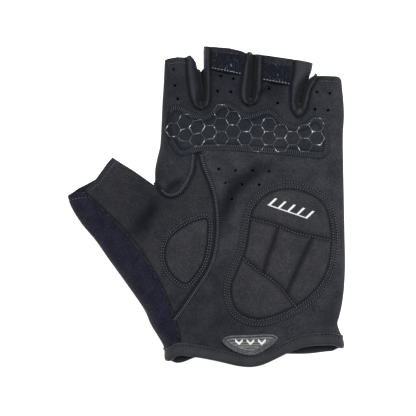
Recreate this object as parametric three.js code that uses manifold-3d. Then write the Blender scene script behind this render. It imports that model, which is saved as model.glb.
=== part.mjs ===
// A half-finger cycling glove for the left hand. It lies on its back with the palm up.
// Lengths are in millimetres. +X is towards the little finger, +Y towards the fingertips, +Z up.
import * as THREE from "three";
import { ConvexHull } from "three/addons/math/ConvexHull.js";
import { TessellateModifier } from "three/addons/modifiers/TessellateModifier.js";
import { mergeVertices } from "three/addons/utils/BufferGeometryUtils.js";
import Module from "manifold-3d";

const wasm = await Module();
wasm.setup();
const { Manifold, Mesh } = wasm;

// Driving sizes of the glove as it lies flat
const palmWidth = 97;
const palmLength = 138;
const fingerLength = 32;
const thumbReach = 50;

// The cloth tube: rolled sides, a flat back that rests, a palm that swells
const rollShare = 0.062;
const sideRoll = rollShare * palmWidth;
const sideFlat = 2;
const clothThickness = 1.2;
const palmRise = 3;
const tipDrop = 3;
const slitWidth = 1.7;

// Clearances
const seamGap = 0.3;
const cutSpare = 9;
const layingDepth = 1.2;

// Trims and pads
const bindingWidth = 7;
const bindingStep = 0.5;
const knucklePadThickness = 1.2;
const printThickness = 0.5;
const printLineWidth = 0.9;
const cellWidth = 6.3;
const cellHeight = 7.05;
const heelFlangeWidth = 4.6;
const thumbFlangeWidth = 2.6;
const flangeThickness = 0.8;
const padEdge = 1.4;
const thumbPadHeight = 2.4;
const heelPadHeight = 3.4;
const channelWidth = 2;
const channelFloor = 1.2;
const holeDiameter = 1.5;
const loopThickness = 1;
const loopRise = 1.8;
const tabThickness = 2.2;
const tabRimWidth = 1.3;
const tabReliefHeight = 0.6;
const markThickness = 0.4;
const markBarWidth = 1.3;

// Mesh fineness
const outlineShare = 0.066;
const outlineStep = outlineShare * palmWidth;
const lidStep = 12;
const sharpestTurn = 0.5;
const samePlace = 1e-4;
const mostSplits = 20;
const holeSides = 6;
const innerLidStep = 18;
const padStep = 13;

const equator = sideRoll + sideFlat / 2;
const fingerEnd = palmLength + fingerLength + cutSpare;
const skyHeight = 3 * equator;
const deepBelow = -equator;

// Outer side of the thumb, from its opening to the wrist, in shares of the thumb's reach
const thumbOuterSide = [
  { reach: 1.0, along: 0.66 },
  { reach: 0.96, along: 0.615 },
  { reach: 0.85, along: 0.55 },
  { reach: 0.7, along: 0.485 },
  { reach: 0.555, along: 0.41 },
  { reach: 0.365, along: 0.315 },
  { reach: 0.185, along: 0.22 },
  { reach: 0.11, along: 0.16 },
  { reach: -0.02, along: 0.08 },
  { reach: -0.05, along: 0.03 },
];
const thumbInnerSide = [
  { reach: 0.52, along: 0.805 },
  { reach: 0.415, along: 0.78 },
  { reach: 0.29, along: 0.752 },
  { reach: 0.18, along: 0.724 },
  { reach: 0.1, along: 0.703 },
];
const thumbCrotch = [
  { reach: 0.08, along: 0.697 },
  { reach: 0.07, along: 0.7 },
];
const indexOuterSide = [
  { across: -0.535, along: 0.71 },
  { across: -0.534, along: 0.76 },
  { across: -0.52, along: 0.81 },
  { across: -0.507, along: 0.85 },
  { across: -0.5, along: 0.93 },
  { across: -0.496, along: 1.0 },
  { across: -0.488, along: 1.09 },
  { across: -0.482, along: 1.18 },
];
const littleOuterSide = [
  { across: 0.484, along: 1.12 },
  { across: 0.49, along: 1.07 },
  { across: 0.497, along: 1.02 },
  { across: 0.5, along: 0.96 },
  { across: 0.494, along: 0.87 },
  { across: 0.498, along: 0.7 },
  { across: 0.503, along: 0.52 },
  { across: 0.506, along: 0.39 },
  { across: 0.5, along: 0.3 },
  { across: 0.488, along: 0.235 },
  { across: 0.472, along: 0.187 },
  { across: 0.464, along: 0.165 },
  { across: 0.475, along: 0.138 },
  { across: 0.491, along: 0.11 },
  { across: 0.497, along: 0.06 },
];

// Slits between the fingers: up is a share of the finger, open counts slit widths
const slits = [
  {
    name: "index_middle",
    rows: [
      { up: 1.0, middle: -0.29, open: 2.3 },
      { up: 0.75, middle: -0.29, open: 2.3 },
      { up: 0.48, middle: -0.28, open: 1.6 },
      { up: 0.315, middle: -0.272, open: 1 },
      { up: 0.18, middle: -0.277, open: 1 },
      { up: 0.08, middle: -0.282, open: 1 },
    ],
    seam: [
      { up: 1.3, across: -0.366 },
      { up: 0.78, across: -0.364 },
      { up: 0.56, across: -0.362 },
      { up: 0.33, across: -0.354 },
      { up: 0.11, across: -0.338 },
      { up: -0.02, across: -0.318 },
      { up: -0.06, across: -0.288 },
      { up: -0.045, across: -0.258 },
      { up: 0.05, across: -0.236 },
      { up: 0.28, across: -0.23 },
      { up: 0.56, across: -0.231 },
      { up: 1.3, across: -0.231 },
    ],
  },
  {
    name: "middle_ring",
    rows: [
      { up: 1.0, middle: 0, open: 1.4 },
      { up: 0.63, middle: 0, open: 1.1 },
      { up: 0.4, middle: -0.004, open: 1 },
      { up: 0.26, middle: -0.008, open: 1 },
      { up: 0.15, middle: -0.012, open: 1 },
    ],
    seam: [
      { up: 1.3, across: -0.03 },
      { up: 0.9, across: -0.036 },
      { up: 0.63, across: -0.054 },
      { up: 0.28, across: -0.069 },
      { up: 0.11, across: -0.065 },
      { up: 0.02, across: -0.042 },
      { up: 0.0, across: -0.015 },
      { up: 0.045, across: 0.015 },
      { up: 0.16, across: 0.039 },
      { up: 0.34, across: 0.048 },
      { up: 0.57, across: 0.052 },
      { up: 1.3, across: 0.056 },
    ],
  },
  {
    name: "ring_little",
    rows: [
      { up: 0.73, middle: 0.342, open: 1.3 },
      { up: 0.55, middle: 0.329, open: 1.3 },
      { up: 0.415, middle: 0.298, open: 1.1 },
      { up: 0.3, middle: 0.277, open: 1 },
      { up: 0.18, middle: 0.264, open: 1 },
      { up: 0.07, middle: 0.254, open: 1 },
    ],
    seam: [
      { up: 1.3, across: 0.222 },
      { up: 0.7, across: 0.222 },
      { up: 0.5, across: 0.214 },
      { up: 0.33, across: 0.203 },
      { up: 0.1, across: 0.202 },
      { up: -0.07, across: 0.21 },
      { up: -0.18, across: 0.235 },
      { up: -0.18, across: 0.26 },
      { up: -0.09, across: 0.288 },
      { up: 0.1, across: 0.305 },
      { up: 0.26, across: 0.318 },
      { up: 0.42, across: 0.345 },
      { up: 0.56, across: 0.37 },
      { up: 1.3, across: 0.38 },
    ],
  },
];

// Finger openings from the index to the little finger
const tipLine = [
  { across: -0.6, up: 0.78 },
  { across: -0.48, up: 0.78 },
  { across: -0.41, up: 0.82 },
  { across: -0.358, up: 0.8 },
  { across: -0.343, up: 0.85 },
  { across: -0.312, up: 0.745 },
  { across: -0.29, up: 0.7 },
  { across: -0.285, up: 1.0 },
  { across: -0.22, up: 0.985 },
  { across: -0.13, up: 0.965 },
  { across: -0.067, up: 0.92 },
  { across: -0.036, up: 0.872 },
  { across: -0.014, up: 0.907 },
  { across: 0.01, up: 0.865 },
  { across: 0.11, up: 0.827 },
  { across: 0.216, up: 0.78 },
  { across: 0.3, up: 0.735 },
  { across: 0.338, up: 0.7 },
  { across: 0.345, up: 0.49 },
  { across: 0.375, up: 0.5 },
  { across: 0.47, up: 0.493 },
  { across: 0.6, up: 0.42 },
];
const thumbFrontOpening = [
  { reach: 0.4, along: 0.86 },
  { reach: 0.52, along: 0.804 },
  { reach: 0.57, along: 0.782 },
  { reach: 0.69, along: 0.722 },
  { reach: 0.755, along: 0.703 },
  { reach: 0.79, along: 0.684 },
  { reach: 0.81, along: 0.67 },
  { reach: 0.89, along: 0.668 },
  { reach: 1.0, along: 0.658 },
  { reach: 1.2, along: 0.62 },
];
const thumbBackOpening = [
  { reach: 0.4, along: 0.86 },
  { reach: 0.52, along: 0.804 },
  { reach: 0.69, along: 0.724 },
  { reach: 0.81, along: 0.7 },
  { reach: 0.88, along: 0.688 },
  { reach: 1.0, along: 0.658 },
  { reach: 1.2, along: 0.6 },
];

// Cuff edges
const frontWristLine = [
  { across: -0.7, along: 0.06 },
  { across: -0.5, along: 0.06 },
  { across: -0.4, along: 0.046 },
  { across: -0.3, along: 0.036 },
  { across: -0.18, along: 0.02 },
  { across: -0.08, along: 0.004 },
  { across: -0.01, along: 0 },
  { across: 0.05, along: 0.008 },
  { across: 0.11, along: 0.026 },
  { across: 0.18, along: 0.05 },
  { across: 0.255, along: 0.072 },
  { across: 0.33, along: 0.082 },
  { across: 0.44, along: 0.084 },
  { across: 0.7, along: 0.084 },
];
const backWristLine = [
  { across: -0.7, along: 0.05 },
  { across: -0.5, along: 0.048 },
  { across: -0.46, along: 0.022 },
  { across: -0.43, along: 0.01 },
  { across: -0.38, along: 0.014 },
  { across: -0.3, along: 0.034 },
  { across: -0.15, along: 0.046 },
  { across: 0.15, along: 0.046 },
  { across: 0.3, along: 0.046 },
  { across: 0.44, along: 0.056 },
  { across: 0.7, along: 0.066 },
];

// Seams of the thumb
const thumbSeam = [
  { across: -0.62, along: 0.74 },
  { across: -0.55, along: 0.69 },
  { across: -0.5, along: 0.665 },
  { across: -0.459, along: 0.648 },
  { across: -0.402, along: 0.657 },
  { across: -0.365, along: 0.685 },
  { across: -0.338, along: 0.72 },
  { across: -0.318, along: 0.758 },
  { across: -0.306, along: 0.83 },
  { across: -0.292, along: 0.79 },
  { across: -0.271, along: 0.747 },
  { across: -0.245, along: 0.703 },
  { across: -0.223, along: 0.655 },
  { across: -0.212, along: 0.604 },
  { across: -0.208, along: 0.546 },
  { across: -0.211, along: 0.502 },
  { across: -0.224, along: 0.436 },
  { across: -0.25, along: 0.384 },
  { across: -0.287, along: 0.34 },
  { across: -0.339, along: 0.287 },
  { across: -0.402, along: 0.223 },
  { across: -0.44, along: 0.19 },
];
const stripSeam = [
  { across: -0.99, along: 0.72 },
  { across: -0.917, along: 0.667 },
  { across: -0.848, along: 0.625 },
  { across: -0.748, along: 0.557 },
  { across: -0.65, along: 0.48 },
  { across: -0.565, along: 0.395 },
  { across: -0.488, along: 0.293 },
  { across: -0.434, along: 0.202 },
  { across: -0.4, along: 0.11 },
  { across: -0.385, along: 0.0 },
];
const thumbBackSeam = [
  { across: -0.56, along: 0.76 },
  { across: -0.53, along: 0.69 },
  { across: -0.5, along: 0.55 },
  { across: -0.46, along: 0.4 },
  { across: -0.42, along: 0.25 },
  { across: -0.4, along: 0.11 },
  { across: -0.385, along: 0.0 },
];

// Pads on the palm
const knucklePadEdge = [
  { across: -0.462, along: 0.995 },
  { across: -0.417, along: 1.007 },
  { across: -0.374, along: 0.997 },
  { across: -0.32, along: 0.977 },
  { across: -0.271, along: 0.966 },
  { across: -0.235, along: 0.98 },
  { across: -0.198, along: 1.005 },
  { across: -0.154, along: 1.018 },
  { across: -0.111, along: 1.01 },
  { across: -0.067, along: 0.987 },
  { across: -0.023, along: 0.972 },
  { across: 0.021, along: 0.98 },
  { across: 0.072, along: 0.992 },
  { across: 0.116, along: 0.985 },
  { across: 0.165, along: 0.95 },
  { across: 0.211, along: 0.935 },
  { across: 0.255, along: 0.93 },
  { across: 0.291, along: 0.945 },
  { across: 0.328, along: 0.963 },
  { across: 0.364, along: 0.958 },
  { across: 0.393, along: 0.935 },
  { across: 0.416, along: 0.894 },
  { across: 0.422, along: 0.853 },
  { across: 0.408, along: 0.812 },
  { across: 0.372, along: 0.798 },
  { across: 0.31, along: 0.802 },
  { across: 0.165, along: 0.812 },
  { across: 0.02, along: 0.82 },
  { across: -0.125, along: 0.828 },
  { across: -0.271, along: 0.828 },
  { across: -0.344, along: 0.813 },
  { across: -0.403, along: 0.808 },
  { across: -0.445, along: 0.843 },
  { across: -0.478, along: 0.884 },
  { across: -0.484, along: 0.935 },
];
const thumbPadEdge = [
  { across: -0.252, along: 0.567 },
  { across: -0.315, along: 0.56 },
  { across: -0.4, along: 0.528 },
  { across: -0.457, along: 0.49 },
  { across: -0.48, along: 0.435 },
  { across: -0.463, along: 0.38 },
  { across: -0.415, along: 0.338 },
  { across: -0.365, along: 0.32 },
  { across: -0.32, along: 0.348 },
  { across: -0.278, along: 0.395 },
  { across: -0.255, along: 0.45 },
  { across: -0.246, along: 0.515 },
];
const heelPadEdge = [
  { across: 0.18, along: 0.682 },
  { across: 0.3, along: 0.665 },
  { across: 0.38, along: 0.625 },
  { across: 0.418, along: 0.545 },
  { across: 0.42, along: 0.44 },
  { across: 0.385, along: 0.35 },
  { across: 0.3, along: 0.272 },
  { across: 0.17, along: 0.216 },
  { across: 0.02, along: 0.188 },
  { across: -0.085, along: 0.22 },
  { across: -0.12, along: 0.3 },
  { across: -0.085, along: 0.375 },
  { across: -0.045, along: 0.44 },
  { across: -0.018, along: 0.545 },
  { across: 0.002, along: 0.605 },
  { across: 0.075, along: 0.66 },
];

// Sewn channels that part the heel pad
const heelChannels = [
  [
    { across: -0.05, along: 0.575 },
    { across: 0.1, along: 0.55 },
    { across: 0.18, along: 0.528 },
    { across: 0.26, along: 0.51 },
    { across: 0.45, along: 0.483 },
  ],
  [
    { across: -0.09, along: 0.44 },
    { across: 0.023, along: 0.373 },
    { across: 0.094, along: 0.34 },
    { across: 0.16, along: 0.298 },
    { across: 0.24, along: 0.225 },
  ],
  [
    { across: 0.137, along: 0.54 },
    { across: 0.106, along: 0.472 },
    { across: 0.082, along: 0.427 },
    { across: 0.055, along: 0.36 },
  ],
  [
    { across: 0.325, along: 0.5 },
    { across: 0.271, along: 0.423 },
    { across: 0.224, along: 0.352 },
    { across: 0.18, along: 0.285 },
  ],
];

// Breathing holes through the palm cloth
const palmHoles = [
  { across: -0.187, along: 0.759 },
  { across: -0.096, along: 0.753 },
  { across: -0.002, along: 0.753 },
  { across: 0.086, along: 0.751 },
  { across: -0.149, along: 0.704 },
  { across: -0.06, along: 0.699 },
  { across: 0.033, along: 0.699 },
  { across: -0.115, along: 0.644 },
];
const fingerHoles = [
  { across: -0.434, up: 0.61 },
  { across: -0.425, up: 0.34 },
  { across: -0.411, up: 0.12 },
  { across: -0.176, up: 0.5 },
  { across: -0.108, up: 0.455 },
  { across: -0.193, up: 0.25 },
  { across: -0.121, up: 0.235 },
  { across: 0.088, up: 0.29 },
  { across: 0.134, up: 0.05 },
  { across: 0.348, up: 0.23 },
  { across: 0.418, up: 0.21 },
  { across: 0.337, up: -0.055 },
  { across: 0.409, up: -0.07 },
];

// Columns of six-sided cells in the grip print, from the index finger to the little finger
const cellColumns = [
  { lowest: 1, cells: 1 },
  { lowest: 1, cells: 2 },
  { lowest: 0, cells: 2 },
  { lowest: 1, cells: 1 },
  { lowest: 0, cells: 3 },
  { lowest: 1, cells: 2 },
  { lowest: 0, cells: 2 },
  { lowest: 0, cells: 2 },
  { lowest: 0, cells: 2 },
  { lowest: 0, cells: 2 },
  { lowest: 0, cells: 1 },
  { lowest: 0, cells: 2 },
  { lowest: 0, cells: 2 },
];
const cellStart = { across: -0.434, along: 0.876 };
const bentColumns = 4;
const columnDrop = 2.6;

// How far the swell of the palm reaches from its middle
const crown = { across: 0.62, middle: 0.48, along: 0.6 };

// Soft valleys pressed into the palm: each is a straight stretch, wide and deep in shares
const valleyWidth = 6;
const valleyDepth = 2.4;
const valleys = [
  { from: { across: -0.5, along: 0.63 }, to: { across: -0.65, along: 0.49 }, wide: 1.2, deep: 1 },
  { from: { across: -0.18, along: 0.56 }, to: { across: -0.11, along: 0.67 }, wide: 0.8, deep: 0.6 },
  { from: { across: -0.11, along: 0.67 }, to: { across: 0.04, along: 0.76 }, wide: 0.8, deep: 0.5 },
  { from: { across: -0.18, along: 0.42 }, to: { across: -0.19, along: 0.3 }, wide: 1, deep: 0.7 },
];

// Loops that pull the glove off
const middleLoopPlan = [
  { across: -0.222, up: 0.91 },
  { across: -0.05, up: 0.86 },
  { across: -0.066, up: 0.51 },
  { across: -0.226, up: 0.6 },
];
const ringLoopPlan = [
  { across: 0.06, up: 0.73 },
  { across: 0.206, up: 0.66 },
  { across: 0.2, up: 0.34 },
  { across: 0.055, up: 0.41 },
];

// The moulded tab at the cuff
const tabEdge = [
  { across: -0.172, along: 0.103 },
  { across: -0.148, along: 0.12 },
  { across: -0.02, along: 0.127 },
  { across: 0.112, along: 0.128 },
  { across: 0.138, along: 0.116 },
  { across: 0.115, along: 0.092 },
  { across: 0.07, along: 0.068 },
  { across: 0.027, along: 0.052 },
  { across: -0.012, along: 0.046 },
  { across: -0.053, along: 0.05 },
  { across: -0.095, along: 0.06 },
  { across: -0.14, along: 0.078 },
];
const chevronCentre = { across: -0.015, along: 0.092 };
const chevronCount = 3;
const chevronPitch = 6;
const chevronSize = 4.2;
const chevronBar = 1.2;

// The small reflective mark on the heel pad
const markCentre = { across: 0.205, along: 0.608 };
const markLength = 22;
const markHeight = 5;
const markTilt = -0.33;
const markBars = 5;

function onPalm(row) {
  return new THREE.Vector2(row.across * palmWidth, row.along * palmLength);
}

function onFinger(row) {
  return new THREE.Vector2(row.across * palmWidth, palmLength + row.up * fingerLength);
}

function onThumb(row) {
  return new THREE.Vector2(-palmWidth / 2 - row.reach * thumbReach, row.along * palmLength);
}

// A smooth open line through the given points, at about even steps
function smooth(points, step = outlineStep) {
  const curve = new THREE.SplineCurve(points);
  const count = Math.max(2, Math.round(curve.getLength() / step));
  return curve.getSpacedPoints(count);
}

// A smooth closed line through the given points
function smoothRing(points, step = outlineStep) {
  const inSpace = points.map((point) => new THREE.Vector3(point.x, point.y, 0));
  const curve = new THREE.CatmullRomCurve3(inSpace, true);
  const count = Math.round(curve.getLength() / step);
  const ring = curve.getSpacedPoints(count).slice(0, count);
  return ring.map((point) => new THREE.Vector2(point.x, point.y));
}

function slitSide(slit, side) {
  const points = slit.rows.map((row) => {
    const point = onFinger({ across: row.middle, up: row.up });
    point.x += side * row.open * slitWidth / 2;
    return point;
  });
  return [new THREE.Vector2(points[0].x, fingerEnd), ...smooth(points)];
}

// Down one finger, round the foot of the slit and up the next finger
function slitLine(slit) {
  const left = slitSide(slit, -1);
  const right = slitSide(slit, 1).reverse();
  const from = left[left.length - 1];
  const to = right[0];
  const centre = from.clone().add(to).multiplyScalar(0.5);
  const radius = from.distanceTo(to) / 2;
  const foot = [0.25, 0.5, 0.75].map((share) => {
    const angle = Math.PI * (1 + share);
    return new THREE.Vector2(centre.x + radius * Math.cos(angle), centre.y + radius * Math.sin(angle));
  });
  return [...left, ...foot, ...right];
}

// Outline of the whole glove seen from above, with spare cloth past each opening
function glovePlan() {
  const outer = thumbOuterSide.map(onThumb);
  const inner = thumbInnerSide.map(onThumb);
  const mouth = inner[0].clone().sub(outer[0]);
  const outward = new THREE.Vector2(-mouth.y, mouth.x).setLength(cutSpare);
  const wristEnd = -cutSpare;
  const wristLeft = new THREE.Vector2(outer[outer.length - 1].x, wristEnd);
  const little = littleOuterSide.map(onPalm);
  const index = indexOuterSide.map(onPalm);
  return [
    wristLeft,
    ...smooth(outer).reverse(),
    outer[0].clone().add(outward),
    inner[0].clone().add(outward),
    ...smooth(inner),
    ...thumbCrotch.map(onThumb),
    ...smooth(index),
    new THREE.Vector2(index[index.length - 1].x, fingerEnd),
    ...slits.flatMap(slitLine),
    new THREE.Vector2(little[0].x, fingerEnd),
    ...smooth(little),
    new THREE.Vector2(little[little.length - 1].x, wristEnd),
  ];
}

const plan = anticlockwise(glovePlan());

function anticlockwise(points) {
  return THREE.ShapeUtils.isClockWise(points) ? [...points].reverse() : points;
}

function distanceToStretch(x, y, from, to) {
  const alongX = to.x - from.x;
  const alongY = to.y - from.y;
  const share = ((x - from.x) * alongX + (y - from.y) * alongY) / (alongX ** 2 + alongY ** 2);
  const held = Math.min(1, Math.max(0, share));
  return Math.hypot(x - from.x - held * alongX, y - from.y - held * alongY);
}

function distanceToEdge(x, y) {
  let nearest = Infinity;
  plan.forEach((from, index) => {
    const to = plan[(index + 1) % plan.length];
    nearest = Math.min(nearest, distanceToStretch(x, y, from, to));
  });
  return nearest;
}

function bell(share) {
  return Math.max(0, 1 - share * share) ** 2;
}

function ease(share) {
  const held = Math.min(1, Math.max(0, share));
  return held * held * (3 - 2 * held);
}

// How much higher or lower than the flat tube the palm side lies
function lift(x, y) {
  const crownAcross = bell(x / palmWidth / crown.across);
  const crownAlong = bell((y / palmLength - crown.middle) / crown.along);
  const risen = palmRise * crownAcross * crownAlong;
  const pastPalm = (y - palmLength) / fingerLength;
  const pastThumb = (-x - palmWidth / 2) / thumbReach;
  const drop = tipDrop * Math.max(ease(pastPalm), ease(pastThumb));
  let pressed = 0;
  valleys.forEach((valley) => {
    const away = distanceToStretch(x, y, onPalm(valley.from), onPalm(valley.to));
    pressed += valleyDepth * valley.deep * Math.exp(-((away / (valleyWidth * valley.wide)) ** 2));
  });
  return risen - drop - pressed;
}

// Height of the cloth's palm side
function surface(x, y) {
  const inset = Math.max(0, sideRoll - distanceToEdge(x, y));
  const rolled = Math.sqrt(sideRoll ** 2 - inset ** 2);
  const height = sideFlat / 2 + rolled;
  return equator + height + lift(x, y) * height / equator;
}

function solidOf(geometry) {
  const bare = geometry.clone();
  bare.deleteAttribute("normal");
  bare.deleteAttribute("uv");
  const merged = mergeVertices(bare, samePlace);
  const mesh = new Mesh({
    numProp: 3,
    vertProperties: new Float32Array(merged.attributes.position.array),
    triVerts: new Uint32Array(merged.index.array),
  });
  return new Manifold(mesh);
}

// Splits long triangles so that the piece can bend
function split(geometry, step) {
  const bare = geometry.index ? geometry.toNonIndexed() : geometry.clone();
  bare.deleteAttribute("normal");
  bare.deleteAttribute("uv");
  return new TessellateModifier(step, mostSplits).modify(bare);
}

function bend(geometry, heightAt) {
  const position = geometry.attributes.position;
  for (let index = 0; index < position.count; index += 1) {
    const x = position.getX(index);
    const y = position.getY(index);
    position.setZ(index, heightAt(x, y, position.getZ(index)));
  }
  return geometry;
}

// The way each corner of a closed outline moves so that its sides move out by one
function cornerPushes(points) {
  return points.map((point, index) => {
    const before = points[(index + points.length - 1) % points.length];
    const after = points[(index + 1) % points.length];
    const into = point.clone().sub(before).normalize();
    const out = after.clone().sub(point).normalize();
    const share = 1 / Math.max(sharpestTurn, 1 + into.dot(out));
    return new THREE.Vector2((into.y + out.y) * share, -(into.x + out.x) * share);
  });
}

function inside(x, y, ring) {
  let crossings = 0;
  ring.forEach((from, index) => {
    const to = ring[(index + 1) % ring.length];
    const spans = from.y > y !== to.y > y;
    if (spans && x < from.x + ((y - from.y) / (to.y - from.y)) * (to.x - from.x)) {
      crossings += 1;
    }
  });
  return crossings % 2 === 1;
}

// Points in staggered rows well inside the lid
function lidPoints(step) {
  const found = [];
  const rowStep = step * Math.sqrt(0.75);
  const left = Math.min(...plan.map((point) => point.x));
  const right = Math.max(...plan.map((point) => point.x));
  for (let row = 0; row * rowStep < fingerEnd + cutSpare; row += 1) {
    const y = row * rowStep - cutSpare;
    for (let x = left + (row % 2) * step / 2; x < right; x += step) {
      if (distanceToEdge(x, y) > sideRoll + step / 2 && inside(x, y, plan)) {
        found.push(new THREE.Vector2(x, y));
      }
    }
  }
  return found;
}

// Even triangles over a ring and the points inside it, found on the hull of a paraboloid
function evenTriangles(ring, inner) {
  const points = [...ring, ...inner];
  const onBowl = points.map((point) => new THREE.Vector3(point.x, point.y, point.lengthSq() / palmLength));
  const order = new Map(onBowl.map((point, index) => [point, index]));
  const triangles = [];
  new ConvexHull().setFromPoints(onBowl).faces.forEach((face) => {
    const edges = [face.getEdge(2), face.getEdge(1), face.getEdge(0)];
    const corners = edges.map((edge) => order.get(edge.head().point));
    const middle = new THREE.Vector2();
    corners.forEach((corner) => middle.addScaledVector(points[corner], 1 / 3));
    if (face.normal.z < 0 && inside(middle.x, middle.y, ring)) {
      triangles.push(corners);
    }
  });
  return triangles;
}

// The glove's filled form, grown by an offset: its skin is the cloth's outer face
function form(offset, rollSteps = 3, step = lidStep) {
  const pushes = cornerPushes(plan);
  const roll = sideRoll + offset;
  const turns = Array.from({ length: rollSteps + 1 }, (_, turn) => (turn / rollSteps) * Math.PI / 2);
  const lower = turns.map((angle) => ({ out: Math.sin(angle), up: -Math.cos(angle), level: -1 }));
  const upper = [...lower].reverse().map(({ out, up }) => ({ out, up: -up, level: 1 }));
  const rings = [...lower, ...upper].map(({ out, up, level }) => {
    const z = equator + level * sideFlat / 2 + up * roll;
    const amount = out * roll - sideRoll;
    return plan.map((point, corner) => {
      const moved = pushes[corner].clone().multiplyScalar(amount).add(point);
      return new THREE.Vector3(moved.x, moved.y, z);
    });
  });
  const count = plan.length;
  const triangles = [];
  for (let level = 0; level + 1 < rings.length; level += 1) {
    for (let corner = 0; corner < count; corner += 1) {
      const next = (corner + 1) % count;
      const [a, b] = [level * count + corner, level * count + next];
      triangles.push([a, b, b + count], [a, b + count, a + count]);
    }
  }
  const top = rings[rings.length - 1];
  const inner = lidPoints(step).map((point) => new THREE.Vector3(point.x, point.y, top[0].z));
  const topStart = (rings.length - 1) * count;
  const flatTop = [...top, ...inner].map((point) => new THREE.Vector2(point.x, point.y));
  evenTriangles(flatTop.slice(0, count), flatTop.slice(count)).forEach((corners) => {
    triangles.push(corners.map((corner) => corner + topStart));
  });
  THREE.ShapeUtils.triangulateShape(rings[0], []).forEach(([a, b, c]) => triangles.push([c, b, a]));
  const points = [...rings.flat(), ...inner];
  points.forEach((point) => {
    point.z += lift(point.x, point.y) * Math.max(0, point.z - equator) / equator;
  });
  const geometry = new THREE.BufferGeometry().setFromPoints(points);
  geometry.setIndex(triangles.flat());
  return solidOf(geometry);
}

function prism(points, bottom = deepBelow, top = skyHeight) {
  const shape = new THREE.Shape(points);
  const geometry = new THREE.ExtrudeGeometry(shape, { depth: top - bottom, bevelEnabled: false });
  geometry.translate(0, 0, bottom);
  return solidOf(geometry);
}

// Points moved sideways from a line by an amount, to its left where positive
function shifted(points, amount, closed = false) {
  const last = points.length - 1;
  return points.map((point, index) => {
    const before = points[index === 0 ? (closed ? last : 0) : index - 1];
    const after = points[index === last ? (closed ? 0 : last) : index + 1];
    const into = point.clone().sub(before).normalize();
    const out = after.clone().sub(point).normalize();
    const along = into.add(out).normalize();
    const turn = Math.max(0.5, Math.abs(along.dot(after.clone().sub(point).normalize())) || 1);
    const reach = amount / turn;
    return new THREE.Vector2(point.x - along.y * reach, point.y + along.x * reach);
  });
}

function ribbon(points, width) {
  return [...shifted(points, width / 2), ...shifted(points, -width / 2).reverse()];
}

// A closed outline grown by an amount, whichever way it turns
function grown(points, amount) {
  const side = THREE.ShapeUtils.isClockWise(points) ? 1 : -1;
  return shifted(points, side * amount, true);
}

function join(solids) {
  return solids.reduce((whole, solid) => whole.add(solid));
}

// Region above the finger openings
function pastTips() {
  const line = tipLine.map(onFinger);
  const far = palmLength + fingerLength + 2 * cutSpare;
  return prism([
    ...line,
    new THREE.Vector2(line[line.length - 1].x, far),
    new THREE.Vector2(line[0].x, far),
  ]);
}

function pastThumb(opening, bottom, top) {
  const line = opening.map(onThumb);
  const mouth = line[0].clone().sub(line[line.length - 1]);
  const outward = new THREE.Vector2(-mouth.y, mouth.x).setLength(2 * cutSpare);
  const far = [line[line.length - 1], line[0]].map((point) => point.clone().add(outward));
  return prism([...line, ...far], bottom, top);
}

// Region between two lines that run from the left to the right
function between(lower, upper, bottom, top) {
  return prism([...lower, ...[...upper].reverse()], bottom, top);
}

function raised(points, amount) {
  return points.map((point) => new THREE.Vector2(point.x, point.y + amount));
}

const farSouth = 3 * cutSpare;

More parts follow.
